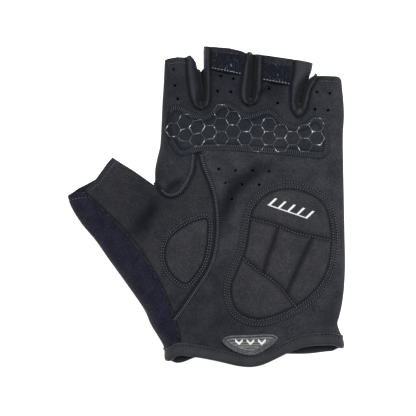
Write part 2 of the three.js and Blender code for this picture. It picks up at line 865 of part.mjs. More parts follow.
// Cloth piece by piece
function clothPieces() {
  const shell = form(0)
    .subtract(form(-clothThickness, 2, innerLidStep))
    .subtract(pastTips())
    .subtract(pastThumb(thumbFrontOpening, equator, skyHeight))
    .subtract(pastThumb(thumbBackOpening, deepBelow, equator));

  const frontWrist = smooth(frontWristLine.map(onPalm));
  const backWrist = smooth(backWristLine.map(onPalm));
  const bandEnd = bindingWidth + seamGap;
  const frontFoot = equator - seamGap;
  const backHead = equator + seamGap;
  const frontRoom = between(raised(frontWrist, -farSouth), raised(frontWrist, bandEnd), frontFoot, skyHeight);
  const backRoom = between(raised(backWrist, -farSouth), raised(backWrist, bandEnd), deepBelow, backHead);

  const seamOfSlit = slits.map((slit) => smooth(slit.seam.map(onFinger)));
  const seamOfThumb = smooth(thumbSeam.map(onPalm));
  const seamOfStrip = smooth(stripSeam.map(onPalm));
  const seamOfBack = smooth(thumbBackSeam.map(onPalm));
  const cuts = join([
    ...seamOfSlit.map((seam) => prism(ribbon(seam, seamGap))),
    prism(ribbon(seamOfThumb, seamGap), frontFoot),
    prism(ribbon(seamOfStrip, seamGap), frontFoot),
    prism(ribbon(seamOfBack, seamGap), deepBelow, backHead),
    frontRoom,
    backRoom,
  ]);
  const sewn = shell.subtract(cuts);

  const slitRooms = seamOfSlit.map((seam) => prism(seam));
  const slitRoom = join(slitRooms);
  const farLeft = -palmWidth / 2 - thumbReach - farSouth;
  const wristLeft = new THREE.Vector2(farLeft, -farSouth);
  const stripRoom = prism([...seamOfStrip, wristLeft, new THREE.Vector2(farLeft, seamOfStrip[0].y)]);
  const thumbTop = palmLength;
  const thumbRoom = prism([
    ...seamOfThumb,
    wristLeft,
    new THREE.Vector2(farLeft, thumbTop),
    new THREE.Vector2(seamOfThumb[0].x, thumbTop),
  ]);
  const aboveThumb = [farLeft, seamOfBack[0].x].map((x) => new THREE.Vector2(x, thumbTop));
  const backOfThumb = [...seamOfBack, wristLeft, ...aboveThumb];
  const thumbBackRoom = prism(backOfThumb, deepBelow, equator - seamGap / 2);
  const whole = [
    new THREE.Vector2(farLeft, -farSouth),
    new THREE.Vector2(palmWidth, -farSouth),
    new THREE.Vector2(palmWidth, palmLength + fingerLength + farSouth),
    new THREE.Vector2(farLeft, palmLength + fingerLength + farSouth),
  ];
  const front = prism(whole, equator + seamGap / 2, skyHeight);
  const back = prism(whole, deepBelow, equator - seamGap / 2);
  const holes = join([...palmHoles.map(onPalm), ...fingerHoles.map(onFinger)].map(breathingHole));

  const pieces = {
    palm_panel: sewn.intersect(front).subtract(join([slitRoom, thumbRoom, stripRoom, holes])),
    thumb_panel: sewn.intersect(front).intersect(thumbRoom).subtract(stripRoom),
    thumb_side_panel: sewn.intersect(join([stripRoom, thumbBackRoom])),
    back_panel: sewn.intersect(back).subtract(join([slitRoom, thumbBackRoom, stripRoom])),
  };
  slits.forEach((slit, index) => {
    pieces[`${slit.name}_fourchette`] = sewn.intersect(slitRooms[index]);
  });
  return pieces;
}

function breathingHole(centre) {
  const points = Array.from({ length: holeSides }, (_, corner) => {
    const angle = (corner / holeSides) * 2 * Math.PI;
    const reach = new THREE.Vector2(Math.cos(angle), Math.sin(angle)).multiplyScalar(holeDiameter / 2);
    return centre.clone().add(reach);
  });
  return prism(points, equator);
}

function cuffBinding() {
  const outer = form(bindingStep, 3, innerLidStep);
  const inner = form(-clothThickness - seamGap, 2, innerLidStep);
  const frontWrist = smooth(frontWristLine.map(onPalm));
  const backWrist = smooth(backWristLine.map(onPalm));
  const frontBand = between(frontWrist, raised(frontWrist, bindingWidth), equator, skyHeight);
  const backBand = between(backWrist, raised(backWrist, bindingWidth), 0, equator);
  return outer.subtract(inner).intersect(frontBand.add(backBand));
}

const clearOfCloth = form(seamGap);
const clearOfBinding = form(bindingStep + seamGap);

function geometryOf(solid) {
  const mesh = solid.getMesh();
  const geometry = new THREE.BufferGeometry();
  geometry.setAttribute("position", new THREE.Float32BufferAttribute(mesh.vertProperties, 3));
  geometry.setIndex([...mesh.triVerts]);
  return geometry;
}

function shapeOf(points) {
  return new THREE.Shape(points);
}

// A flat pattern piece laid over the palm. It starts low, so that what lies under it can be cut away
function laidOver(shape, thickness, { edge = 0, base = 0, step = padStep, sink = layingDepth } = {}) {
  const geometry = new THREE.ExtrudeGeometry(shape, {
    depth: thickness + sink - edge,
    bevelEnabled: edge > 0,
    bevelThickness: edge,
    bevelSize: edge,
    bevelOffset: -edge,
    bevelSegments: 2,
  });
  const start = seamGap + base - sink;
  return solidOf(bend(split(geometry, step), (x, y, z) => surface(x, y) + start + Math.max(0, z)));
}

// Flat work one unit thick, laid over the palm at a height and given its thickness
function laidFlat(solid, base, thickness, step) {
  const fine = split(geometryOf(solid), step);
  return solidOf(bend(fine, (x, y, z) => surface(x, y) + base + z * thickness));
}

function knucklePad() {
  const edge = smoothRing(knucklePadEdge.map(onPalm));
  return laidOver(shapeOf(edge), knucklePadThickness, { step: cellWidth }).subtract(clearOfCloth);
}

function cellCorners(centre, extra) {
  const halfWide = cellWidth * 2 / 3;
  const halfTall = cellHeight / 2;
  const scale = 1 + extra / cellHeight;
  const corners = [
    [-halfWide, 0],
    [-halfWide / 2, -halfTall],
    [halfWide / 2, -halfTall],
    [halfWide, 0],
    [halfWide / 2, halfTall],
    [-halfWide / 2, halfTall],
  ];
  return corners.map(([x, y]) => new THREE.Vector2(centre.x + x * scale, centre.y + y * scale));
}

function cellCentres() {
  const start = onPalm(cellStart);
  return cellColumns.flatMap((column, index) => {
    const half = index % 2 === 1 ? -cellHeight / 2 : 0;
    const bent = Math.max(0, 1 - index / bentColumns);
    return Array.from({ length: column.cells }, (_, row) => {
      const y = start.y + half + (column.lowest + row) * cellHeight - columnDrop * bent * bent;
      return new THREE.Vector2(start.x + index * cellWidth, y);
    });
  });
}

// A net of six-sided cells, open inside each cell, printed on the knuckle pad
function gripPrint() {
  const centres = cellCentres();
  const cells = join(centres.map((centre) => prism(cellCorners(centre, printLineWidth), 0, 1)));
  const openings = join(centres.map((centre) => prism(cellCorners(centre, -printLineWidth), -1, 2)));
  return laidFlat(cells.subtract(openings), 2 * seamGap + knucklePadThickness, printThickness, padStep);
}

// A crowned pad on a thin flange that is stitched down
function crownedPad(edge, height, flangeWidth) {
  const flange = laidOver(shapeOf(grown(edge, flangeWidth)), flangeThickness);
  const crown = laidOver(shapeOf(edge), height, { edge: padEdge });
  return flange.add(crown).subtract(clearOfCloth);
}

function thumbPad() {
  return crownedPad(smoothRing(thumbPadEdge.map(onPalm)), thumbPadHeight, thumbFlangeWidth);
}

function heelPad() {
  const pad = crownedPad(smoothRing(heelPadEdge.map(onPalm)), heelPadHeight, heelFlangeWidth);
  const channels = heelChannels.map((rows) => {
    const line = smooth(rows.map(onPalm));
    const above = { base: channelFloor, sink: 0, step: palmLength };
    return laidOver(shapeOf(ribbon(line, channelWidth)), heelPadHeight, above);
  });
  return channels.reduce((cut, channel) => cut.subtract(channel), pad);
}

// A band that stands in an arch across a finger, sewn down at both ends
function pullLoop(corners) {
  const points = corners.map(onFinger);
  const left = Math.min(...points.map((point) => point.x));
  const right = Math.max(...points.map((point) => point.x));
  const geometry = new THREE.ExtrudeGeometry(shapeOf(points), { depth: loopThickness, bevelEnabled: false });
  const bent = bend(split(geometry, outlineStep), (x, y, z) => {
    const arch = loopRise * Math.sin(Math.PI * (x - left) / (right - left));
    return surface(x, y) + seamGap + arch + z;
  });
  return solidOf(bent).subtract(clearOfCloth);
}

function chevron(centre) {
  const half = chevronSize / 2;
  const arm = [
    new THREE.Vector2(centre.x - half, centre.y + half / 2),
    new THREE.Vector2(centre.x, centre.y - half / 2),
    new THREE.Vector2(centre.x + half, centre.y + half / 2),
  ];
  return shapeOf([...arm, ...raised(arm, chevronBar).reverse()]);
}

// A moulded plate with a raised rim and raised chevrons, sewn over the cuff
function pullTab() {
  const edge = smoothRing(tabEdge.map(onPalm), outlineStep / 2);
  const tall = tabThickness + tabReliefHeight;
  const middle = onPalm(chevronCentre);
  const marks = Array.from({ length: chevronCount }, (_, index) => {
    const across = (index - (chevronCount - 1) / 2) * chevronPitch;
    return chevron(new THREE.Vector2(middle.x + across, middle.y));
  });
  const aboveFloor = { base: bindingStep + tabThickness, sink: 0 };
  const plate = laidOver(shapeOf(edge), tall, { base: bindingStep })
    .subtract(laidOver(shapeOf(grown(edge, -tabRimWidth)), tall, aboveFloor));
  const relief = marks.map((mark) => laidOver(mark, tall, { base: bindingStep }));
  return join([plate, ...relief]).subtract(clearOfBinding);
}

// A small ladder of slanted bars between two rails
function reflectiveMark() {
  const middle = onPalm(markCentre);
  const along = new THREE.Vector2(Math.cos(markTilt), Math.sin(markTilt));
  const up = new THREE.Vector2(-along.y, along.x);
  const at = (x, y) => middle.clone().addScaledVector(along, x).addScaledVector(up, y);
  const block = (x, y, wide, tall, slant) => [
    at(x - wide / 2 - slant, y - tall / 2),
    at(x + wide / 2 - slant, y - tall / 2),
    at(x + wide / 2 + slant, y + tall / 2),
    at(x - wide / 2 + slant, y + tall / 2),
  ];
  const slant = markBarWidth;
  const bars = Array.from({ length: markBars }, (_, index) => {
    const x = (index / (markBars - 1) - 0.5) * (markLength - markBarWidth);
    return prism(block(x, 0, markBarWidth, markHeight, slant), 0, 1);
  });
  const railWidth = markBarWidth / 2;
  const rail = prism(block(-slant, (railWidth - markHeight) / 2, markLength, railWidth, 0), 0, 1);
  const base = 2 * seamGap + heelPadHeight;
  return laidFlat(join([...bars, rail]), base, markThickness, padStep);
}

const looks = {
  suede: { color: 0x2b2c2f, roughness: 0.95 },
  terry: { color: 0x24233a, roughness: 1 },
  stretchCloth: { color: 0x1f2430, roughness: 0.7 },
  webbing: { color: 0x1c1f33, roughness: 0.8 },
  padCloth: { color: 0x303135, roughness: 0.9 },
  silicone: { color: 0x55585c, roughness: 0.35 },
  rubber: { color: 0x3a3c3e, roughness: 0.5 },
  silver: { color: 0xc9ccd0, roughness: 0.4 },
};

const lookOf = {
  palm_panel: "suede",
  thumb_panel: "suede",
  thumb_side_panel: "terry",
  back_panel: "stretchCloth",
  index_middle_fourchette: "stretchCloth",
  middle_ring_fourchette: "stretchCloth",
  ring_little_fourchette: "stretchCloth",
  cuff_binding: "stretchCloth",
  knuckle_pad: "padCloth",
  grip_print: "silicone",
  thumb_pad: "padCloth",
  heel_pad: "padCloth",
  middle_pull_loop: "webbing",
  ring_pull_loop: "webbing",
  pull_tab: "rubber",
  reflective_mark: "silver",
};

function meshOf(name, solid) {
  const look = looks[lookOf[name]];
  const material = new THREE.MeshStandardMaterial({ ...look, metalness: 0 });
  const mesh = new THREE.Mesh(geometryOf(solid), material);
  mesh.name = name;
  return mesh;
}

const pieces = {
  ...clothPieces(),
  cuff_binding: cuffBinding(),
  knuckle_pad: knucklePad(),
  grip_print: gripPrint(),
  thumb_pad: thumbPad(),
  heel_pad: heelPad(),
  middle_pull_loop: pullLoop(middleLoopPlan),
  ring_pull_loop: pullLoop(ringLoopPlan),
  pull_tab: pullTab(),
  reflective_mark: reflectiveMark(),
};

const glove = new THREE.Group();
glove.name = "cycling_glove";
Object.entries(pieces).forEach(([name, solid]) => glove.add(meshOf(name, solid)));

// The origin is at the middle of the foot of the bounding box
const box = new THREE.Box3().setFromObject(glove);
const centre = box.getCenter(new THREE.Vector3());
glove.position.set(-centre.x, -centre.y, -box.min.z);

export default glove;
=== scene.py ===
import math

import bpy
import numpy as np
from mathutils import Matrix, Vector
from mathutils.geometry import delaunay_2d_cdt
from mathutils.kdtree import KDTree


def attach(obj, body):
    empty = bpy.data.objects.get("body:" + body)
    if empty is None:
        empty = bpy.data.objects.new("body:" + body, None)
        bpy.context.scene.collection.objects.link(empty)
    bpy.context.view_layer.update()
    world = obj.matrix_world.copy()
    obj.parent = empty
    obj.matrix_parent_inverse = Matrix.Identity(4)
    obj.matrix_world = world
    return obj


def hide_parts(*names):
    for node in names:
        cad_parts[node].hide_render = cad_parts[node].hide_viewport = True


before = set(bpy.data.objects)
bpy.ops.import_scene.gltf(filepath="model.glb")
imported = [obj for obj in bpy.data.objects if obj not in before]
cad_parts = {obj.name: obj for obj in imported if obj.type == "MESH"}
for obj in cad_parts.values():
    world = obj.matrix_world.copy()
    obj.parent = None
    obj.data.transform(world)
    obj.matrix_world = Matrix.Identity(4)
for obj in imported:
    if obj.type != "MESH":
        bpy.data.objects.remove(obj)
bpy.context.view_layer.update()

# Driving sizes of the glove as it lies flat
PALM_WIDTH = 97
PALM_LENGTH = 138
FINGER_LENGTH = 32
THUMB_REACH = 50
FRAME_SHIFT = (24.68, -85.015)
METRES = 0.001

# The cloth tube
SIDE_ROLL = 0.062 * PALM_WIDTH
SIDE_FLAT = 2
EQUATOR = SIDE_ROLL + SIDE_FLAT / 2
CLOTH_THICKNESS = 1.2
PALM_RISE = 3
TIP_DROP = 3
CROWN_ACROSS = 0.62
CROWN_MIDDLE = 0.48
CROWN_ALONG = 0.6
SLIT_WIDTH = 1.7
CUT_SPARE = 9
FINGER_END = PALM_LENGTH + FINGER_LENGTH + CUT_SPARE

# Trims and pads
SEAM_GAP = 0.3
BINDING_WIDTH = 7
CUFF_LIFT = 0.9
CUFF_LIFT_FADE = 5
KNUCKLE_PAD_THICKNESS = 1.2
CELL_WIDTH = 6.3
CELL_HEIGHT = 7.05
HEEL_FLANGE = 4.6
THUMB_FLANGE = 2.6
FLANGE_THICKNESS = 0.8
THUMB_PAD_HEIGHT = 2.4
HEEL_PAD_HEIGHT = 3.4
CHANNEL_WIDTH = 2
CHANNEL_FLOOR = 1.2
HOLE_DIAMETER = 1.5

# Mesh fineness
LINE_STEP = 1.0
CLOTH_STEP = 1.4
FINE_STEP = 0.8
PAD_STEP = 1.0
SPLINE_PARTS = 12
BATCH = 2000

# Outer side of the thumb from its opening to the wrist: (reach, along)
THUMB_OUTER_SIDE = [
    (1.0, 0.66), (0.96, 0.615), (0.85, 0.55), (0.7, 0.485), (0.555, 0.41),
    (0.365, 0.315), (0.185, 0.22), (0.11, 0.16), (-0.02, 0.08), (-0.05, 0.03),
]
THUMB_INNER_SIDE = [(0.52, 0.805), (0.415, 0.78), (0.29, 0.752), (0.18, 0.724), (0.1, 0.703)]
THUMB_CROTCH = [(0.08, 0.697), (0.07, 0.7)]

# Outer sides of the index and little fingers: (across, along)
INDEX_OUTER_SIDE = [
    (-0.535, 0.71), (-0.534, 0.76), (-0.52, 0.81), (-0.507, 0.85),
    (-0.5, 0.93), (-0.496, 1.0), (-0.488, 1.09), (-0.482, 1.18),
]
LITTLE_OUTER_SIDE = [
    (0.484, 1.12), (0.49, 1.07), (0.497, 1.02), (0.5, 0.96), (0.494, 0.87),
    (0.498, 0.7), (0.503, 0.52), (0.506, 0.39), (0.5, 0.3), (0.488, 0.235),
    (0.472, 0.187), (0.464, 0.165), (0.475, 0.138), (0.491, 0.11), (0.497, 0.06),
]

# Slits between the fingers. Rows: (up, middle, open). Seams: (across, up)
SLITS = {
    "index_middle": {
        "rows": [
            (1.0, -0.29, 2.3), (0.75, -0.29, 2.3), (0.48, -0.28, 1.6),
            (0.315, -0.272, 1), (0.18, -0.277, 1), (0.08, -0.282, 1),
        ],
        "seam": [
            (-0.366, 1.3), (-0.364, 0.78), (-0.362, 0.56), (-0.354, 0.33), (-0.338, 0.11),
            (-0.318, -0.02), (-0.288, -0.06), (-0.258, -0.045), (-0.236, 0.05),
            (-0.23, 0.28), (-0.231, 0.56), (-0.231, 1.3),
        ],
    },
    "middle_ring": {
        "rows": [
            (1.0, 0, 1.4), (0.63, 0, 1.1), (0.4, -0.004, 1), (0.26, -0.008, 1), (0.15, -0.012, 1),
        ],
        "seam": [
            (-0.03, 1.3), (-0.036, 0.9), (-0.054, 0.63), (-0.069, 0.28), (-0.065, 0.11),
            (-0.042, 0.02), (-0.015, 0.0), (0.015, 0.045), (0.039, 0.16),
            (0.048, 0.34), (0.052, 0.57), (0.056, 1.3),
        ],
    },
    "ring_little": {
        "rows": [
            (0.73, 0.342, 1.3), (0.55, 0.329, 1.3), (0.415, 0.298, 1.1),
            (0.3, 0.277, 1), (0.18, 0.264, 1), (0.07, 0.254, 1),
        ],
        "seam": [
            (0.222, 1.3), (0.222, 0.7), (0.214, 0.5), (0.203, 0.33), (0.202, 0.1),
            (0.21, -0.07), (0.235, -0.18), (0.26, -0.18), (0.288, -0.09), (0.305, 0.1),
            (0.318, 0.26), (0.345, 0.42), (0.37, 0.56), (0.38, 1.3),
        ],
    },
}

# Edges of the openings: finger tips (across, up), thumb (reach, along), cuff (across, along)
TIP_LINE = [
    (-0.6, 0.6), (-0.491, 0.725), (-0.484, 0.765), (-0.466, 0.787), (-0.41, 0.815), (-0.37, 0.805),
    (-0.36, 0.825), (-0.35, 0.84),
    (-0.34, 0.84), (-0.325, 0.79), (-0.312, 0.735), (-0.29, 0.7), (-0.285, 1.0), (-0.22, 0.985),
    (-0.13, 0.965), (-0.067, 0.92), (-0.036, 0.88), (-0.026, 0.9), (-0.014, 0.904), (0.0, 0.885),
    (0.012, 0.868), (0.11, 0.827), (0.216, 0.78), (0.3, 0.735), (0.334, 0.712), (0.338, 0.69),
    (0.342, 0.5), (0.375, 0.503), (0.455, 0.495), (0.474, 0.478), (0.484, 0.44), (0.6, 0.36),
]
THUMB_FRONT_OPENING = [
    (0.4, 0.86), (0.52, 0.804), (0.57, 0.782), (0.69, 0.722), (0.755, 0.703),
    (0.79, 0.684), (0.81, 0.67), (0.89, 0.668), (1.0, 0.658), (1.2, 0.62),
]
THUMB_BACK_OPENING = [
    (0.4, 0.86), (0.52, 0.804), (0.69, 0.724), (0.81, 0.7), (0.88, 0.688), (1.0, 0.658), (1.2, 0.6),
]
FRONT_WRIST_LINE = [
    (-0.7, 0.02), (-0.5, 0.022), (-0.45, 0.032), (-0.4, 0.044), (-0.3, 0.036), (-0.18, 0.02),
    (-0.08, 0.004), (-0.01, 0), (0.05, 0.008), (0.11, 0.026), (0.18, 0.05), (0.255, 0.072),
    (0.33, 0.082), (0.44, 0.084), (0.7, 0.084),
]
BACK_WRIST_LINE = [
    (-0.7, 0.02), (-0.5, 0.02), (-0.46, 0.014), (-0.43, 0.01), (-0.38, 0.014), (-0.3, 0.034),
    (-0.15, 0.046), (0.15, 0.046), (0.3, 0.046), (0.44, 0.056), (0.7, 0.066),
]

# Seams of the thumb: (across, along)
THUMB_SEAM = [
    (-0.57, 0.76), (-0.542, 0.702), (-0.5, 0.665), (-0.459, 0.648), (-0.402, 0.657),
    (-0.365, 0.685), (-0.338, 0.72), (-0.318, 0.758), (-0.306, 0.83), (-0.292, 0.79),
    (-0.271, 0.747), (-0.245, 0.703), (-0.223, 0.655), (-0.212, 0.604), (-0.208, 0.546),
    (-0.211, 0.502), (-0.224, 0.436), (-0.25, 0.384), (-0.287, 0.34), (-0.339, 0.287),
    (-0.402, 0.223), (-0.44, 0.19),
]
THUMB_SEAM_APEX = 8
STRIP_SEAM = [
    (-0.99, 0.72), (-0.917, 0.667), (-0.848, 0.625), (-0.748, 0.557), (-0.65, 0.48),
    (-0.565, 0.395), (-0.488, 0.293), (-0.434, 0.202), (-0.4, 0.11), (-0.385, 0.0),
]
THUMB_BACK_SEAM = [
    (-0.56, 0.76), (-0.53, 0.69), (-0.5, 0.55), (-0.46, 0.4), (-0.42, 0.25), (-0.4, 0.11),
    (-0.385, 0.0),
]

# Pads: (across, along)
KNUCKLE_PAD_EDGE = [
    (-0.462, 0.995), (-0.417, 1.007), (-0.374, 0.997), (-0.32, 0.977), (-0.271, 0.966),
    (-0.235, 0.98), (-0.198, 1.005), (-0.154, 1.018), (-0.111, 1.01), (-0.067, 0.987),
    (-0.023, 0.972), (0.021, 0.98), (0.072, 0.992), (0.116, 0.985), (0.165, 0.95),
    (0.211, 0.935), (0.255, 0.93), (0.291, 0.945), (0.328, 0.963), (0.364, 0.958),
    (0.393, 0.935), (0.416, 0.894), (0.422, 0.853), (0.408, 0.812), (0.372, 0.798),
    (0.31, 0.802), (0.165, 0.812), (0.02, 0.82), (-0.125, 0.828), (-0.271, 0.828),
    (-0.344, 0.813), (-0.403, 0.808), (-0.445, 0.843), (-0.478, 0.884), (-0.484, 0.935),
]
THUMB_PAD_EDGE = [
    (-0.252, 0.567), (-0.315, 0.56), (-0.4, 0.528), (-0.457, 0.49), (-0.48, 0.435),
    (-0.463, 0.38), (-0.415, 0.338), (-0.365, 0.32), (-0.32, 0.348), (-0.278, 0.395),
    (-0.255, 0.45), (-0.246, 0.515),
]
HEEL_PAD_EDGE = [
    (0.18, 0.682), (0.3, 0.665), (0.38, 0.625), (0.418, 0.545), (0.42, 0.44), (0.385, 0.35),
    (0.3, 0.272), (0.17, 0.216), (0.02, 0.188), (-0.085, 0.22), (-0.12, 0.3), (-0.085, 0.375),
    (-0.045, 0.44), (-0.018, 0.545), (0.002, 0.605), (0.075, 0.66),
]
HEEL_CHANNELS = [
    [(-0.05, 0.575), (0.1, 0.55), (0.18, 0.528), (0.26, 0.51), (0.45, 0.483)],
    [(-0.09, 0.44), (0.023, 0.373), (0.094, 0.34), (0.16, 0.298), (0.24, 0.225)],
    [(0.137, 0.54), (0.106, 0.472), (0.082, 0.427), (0.055, 0.36)],
    [(0.325, 0.5), (0.271, 0.423), (0.224, 0.352), (0.18, 0.285)],
]

# Breathing holes: on the palm (across, along), on the fingers (across, up)
PALM_HOLES = [
    (-0.187, 0.759), (-0.096, 0.753), (-0.002, 0.753), (0.086, 0.751),
    (-0.149, 0.704), (-0.06, 0.699), (0.033, 0.699), (-0.115, 0.644),
]
FINGER_HOLES = [
    (-0.434, 0.61), (-0.425, 0.34), (-0.411, 0.12), (-0.176, 0.5), (-0.108, 0.455),
    (-0.193, 0.25), (-0.121, 0.235), (0.088, 0.29), (0.134, 0.05), (0.348, 0.23),
    (0.418, 0.21), (0.337, -0.055), (0.409, -0.07),
]

# Columns of six-sided cells from the index to the little finger: (lowest, cells)
CELL_COLUMNS = [
    (1, 1), (1, 2), (0, 2), (1, 1), (0, 3), (1, 2), (0, 2),
    (0, 2), (0, 2), (0, 2), (0, 1), (0, 2), (0, 2),
]
CELL_START = (-0.434, 0.876)
BENT_COLUMNS = 4
COLUMN_DROP = 2.6

# Broad valleys in the palm side: from and to (across, along), then wide and deep
VALLEY_WIDTH = 6
VALLEY_DEPTH = 2.4
VALLEYS = [
    ((-0.5, 0.63), (-0.65, 0.49), 1.2, 1),
    ((-0.18, 0.56), (-0.11, 0.67), 0.8, 0.6),
    ((-0.11, 0.67), (0.04, 0.76), 0.8, 0.5),
    ((-0.18, 0.42), (-0.19, 0.3), 1, 0.7),
]

# Loops across the middle and ring fingers: (across, up)
LOOP_PLANS = {
    "middle_pull_loop": [(-0.222, 0.91), (-0.05, 0.86), (-0.066, 0.51), (-0.226, 0.6)],
    "ring_pull_loop": [(0.06, 0.73), (0.206, 0.66), (0.2, 0.34), (0.055, 0.41)],
}
LOOP_RISE = 1.8
LOOP_THICKNESS = 1.0

# The moulded tab: (across, along)
TAB_EDGE = [
    (-0.172, 0.103), (-0.148, 0.12), (-0.02, 0.127), (0.112, 0.128), (0.138, 0.116),
    (0.115, 0.092), (0.07, 0.068), (0.027, 0.052), (-0.012, 0.046), (-0.053, 0.05),
    (-0.095, 0.06), (-0.14, 0.078),
]
TAB_THICKNESS = 2.2
TAB_RIM_WIDTH = 1.3
TAB_RELIEF = 0.6
BINDING_STEP = 0.5
CHEVRON_CENTRE = (-0.015, 0.092)
CHEVRON_COUNT = 3
CHEVRON_PITCH = 6
CHEVRON_SIZE = 4.2
CHEVRON_BAR = 1.7

# The small reflective mark
MARK_CENTRE = (0.205, 0.608)
MARK_LENGTH = 22
MARK_HEIGHT = 5
MARK_TILT = -0.33
MARK_BARS = 5
MARK_BAR_WIDTH = 1.3


def on_palm(rows):
    return np.array(rows, float) * (PALM_WIDTH, PALM_LENGTH)


def on_finger(rows):
    return np.array(rows, float) * (PALM_WIDTH, FINGER_LENGTH) + (0, PALM_LENGTH)


def on_thumb(rows):
    return np.array(rows, float) * (-THUMB_REACH, PALM_LENGTH) - (PALM_WIDTH / 2, 0)


def resampled(line, step, closed=False):
    """The same line in even steps."""
    line = np.asarray(line, float)
    if closed:
        line = np.vstack([line, line[:1]])
    reached = np.concatenate([[0], np.cumsum(np.linalg.norm(np.diff(line, axis=0), axis=1))])
    count = max(2, round(reached[-1] / step))
    at = np.linspace(0, reached[-1], count + 1)
    if closed:
        at = at[:-1]
    return np.column_stack([np.interp(at, reached, line[:, axis]) for axis in range(line.shape[1])])


def stepped(line, step=LINE_STEP, closed=False):
    """The same corners with points between them, about a step apart."""
    line = np.asarray(line, float)
    ends = np.roll(line, -1, axis=0) if closed else line[1:]
    found = []
    for start, end in zip(line, ends):
        count = max(1, round(math.dist(start, end) / step))
        found.append(start + (end - start) * np.linspace(0, 1, count, endpoint=False)[:, None])
    if not closed:
        found.append(line[-1:])
    return np.vstack(found)


def spline(points, step=LINE_STEP, closed=False):
    """A smooth line through the points in even steps. A closed one keeps its turns tight."""
    points = np.asarray(points, float)
    count = len(points)
    share = np.linspace(0, 1, SPLINE_PARTS, endpoint=False)[:, None]
    found = []
    for index in range(count if closed else count - 1):
        near = [index - 1, index, index + 1, index + 2]
        if closed:
            before, start, end, after = points[[place % count for place in near]]
            pairs = ((before, start), (start, end), (end, after))
            first, own, last = [math.sqrt(math.dist(a, b)) for a, b in pairs]
        else:
            before, start, end, after = points[np.clip(near, 0, count - 1)]
            first = own = last = 1
        leave = ((start - before) / first - (end - before) / (first + own)) * own + end - start
        reach = ((after - end) / last - (after - start) / (own + last)) * own + end - start
        cubed = 2 * start - 2 * end + leave + reach
        squared = 3 * end - 3 * start - 2 * leave - reach
        found.append(start + leave * share + squared * share ** 2 + cubed * share ** 3)
    if not closed:
        found.append(points[-1:])
    return resampled(np.vstack(found), step, closed)


def nearest_on(points, line, closed=False):
    """Each point's distance to the line, its place along it, and 1 or -1 for the left or right side."""
    starts = line if closed else line[:-1]
    spans = (np.roll(line, -1, axis=0) if closed else line[1:]) - starts
    lengths = np.linalg.norm(spans, axis=1)
    reached = np.concatenate([[0], np.cumsum(lengths)[:-1]])
    parts = []
    for first in range(0, len(points), BATCH):
        offset = points[first:first + BATCH, None] - starts
        share = np.clip((offset * spans).sum(2) / lengths ** 2, 0, 1)
        gap = offset - share[..., None] * spans
        away = np.hypot(gap[..., 0], gap[..., 1])
        best = away.argmin(1)
        rows = np.arange(len(best))
        own = offset[rows, best]
        turn = spans[best, 0] * own[:, 1] - spans[best, 1] * own[:, 0]
        place = reached[best] + share[rows, best] * lengths[best]
        parts.append(np.column_stack([away[rows, best], place, np.where(turn >= 0, 1, -1)]))
    return np.vstack(parts).T


def inside(points, ring):
    """Whether each point is inside a closed ring."""
    x, y = points.T
    within = np.zeros(len(points), bool)
    for (x1, y1), (x2, y2) in zip(ring, np.roll(ring, -1, axis=0)):
        if y1 == y2:
            continue
        spans = (y1 > y) != (y2 > y)
        within ^= spans & (x < x1 + (y - y1) / (y2 - y1) * (x2 - x1))
    return within


def left_of(line, closed=False):
    """The unit direction to the left of a line at each of its points."""
    if closed:
        along = np.roll(line, -1, axis=0) - np.roll(line, 1, axis=0)
    else:
        along = np.gradient(line, axis=0)
    along /= np.linalg.norm(along, axis=1)[:, None]
    return np.column_stack([-along[:, 1], along[:, 0]])


def shifted(line, amount, closed=False):
    return line + left_of(line, closed) * amount


def bell(share):
    return np.clip(1 - share ** 2, 0, None) ** 2


def hump(away, width):
    """1 at no distance, falling softly to 0 past the width."""
    return np.exp(-(away / width) ** 2)


def ease(share):
    held = np.clip(share, 0, 1)
    return held * held * (3 - 2 * held)


def slit_line(slit):
    """Down one finger, round the foot of the slit and up the next finger."""
    rows = np.array(slit["rows"], float)
    middle = on_finger(rows[:, [1, 0]])
    half = rows[:, 2:] * (SLIT_WIDTH / 2, 0)
    left = spline(middle - half)
    right = spline(middle + half)[::-1]
    centre = (left[-1] + right[0]) / 2
    radius = math.dist(left[-1], right[0]) / 2
    angles = np.pi * (1 + np.linspace(0, 1, 8)[1:-1])
    foot = centre + radius * np.column_stack([np.cos(angles), np.sin(angles)])
    top = FINGER_END
    return np.vstack([[(left[0][0], top)], left, foot, right, [(right[-1][0], top)]])


def glove_plan():
    """Outline of the glove seen from above, anticlockwise, with spare cloth past each opening."""
    outer = on_thumb(THUMB_OUTER_SIDE)
    inner = on_thumb(THUMB_INNER_SIDE)
    mouth = inner[0] - outer[0]
    outward = np.array([-mouth[1], mouth[0]]) * CUT_SPARE / np.linalg.norm(mouth)
    little = on_palm(LITTLE_OUTER_SIDE)
    index = on_palm(INDEX_OUTER_SIDE)
    clockwise = np.vstack([
        [(outer[-1][0], -CUT_SPARE)],
        spline(outer)[::-1],
        [outer[0] + outward, inner[0] + outward],
        spline(inner),
        on_thumb(THUMB_CROTCH),
        spline(index),
        [(index[-1][0], FINGER_END)],
        *[slit_line(slit) for slit in SLITS.values()],
        [(little[0][0], FINGER_END)],
        spline(little),
        [(little[-1][0], -CUT_SPARE)],
    ])
    return clockwise[::-1]


PLAN = glove_plan()
PLAN_DENSE = stepped(PLAN, closed=True)
FRONT_WRIST = spline(on_palm(FRONT_WRIST_LINE))
BACK_WRIST = spline(on_palm(BACK_WRIST_LINE))
SLIT_SEAMS = {name: spline(on_finger(slit["seam"])) for name, slit in SLITS.items()}
SEAM_OF_THUMB = spline(on_palm(THUMB_SEAM))
SEAM_OF_STRIP = spline(on_palm(STRIP_SEAM))
SEAM_OF_BACK = spline(on_palm(THUMB_BACK_SEAM))


FRONT_SEAMS = (*SLIT_SEAMS.values(), SEAM_OF_THUMB, SEAM_OF_STRIP)
BACK_SEAMS = (*SLIT_SEAMS.values(), SEAM_OF_BACK)


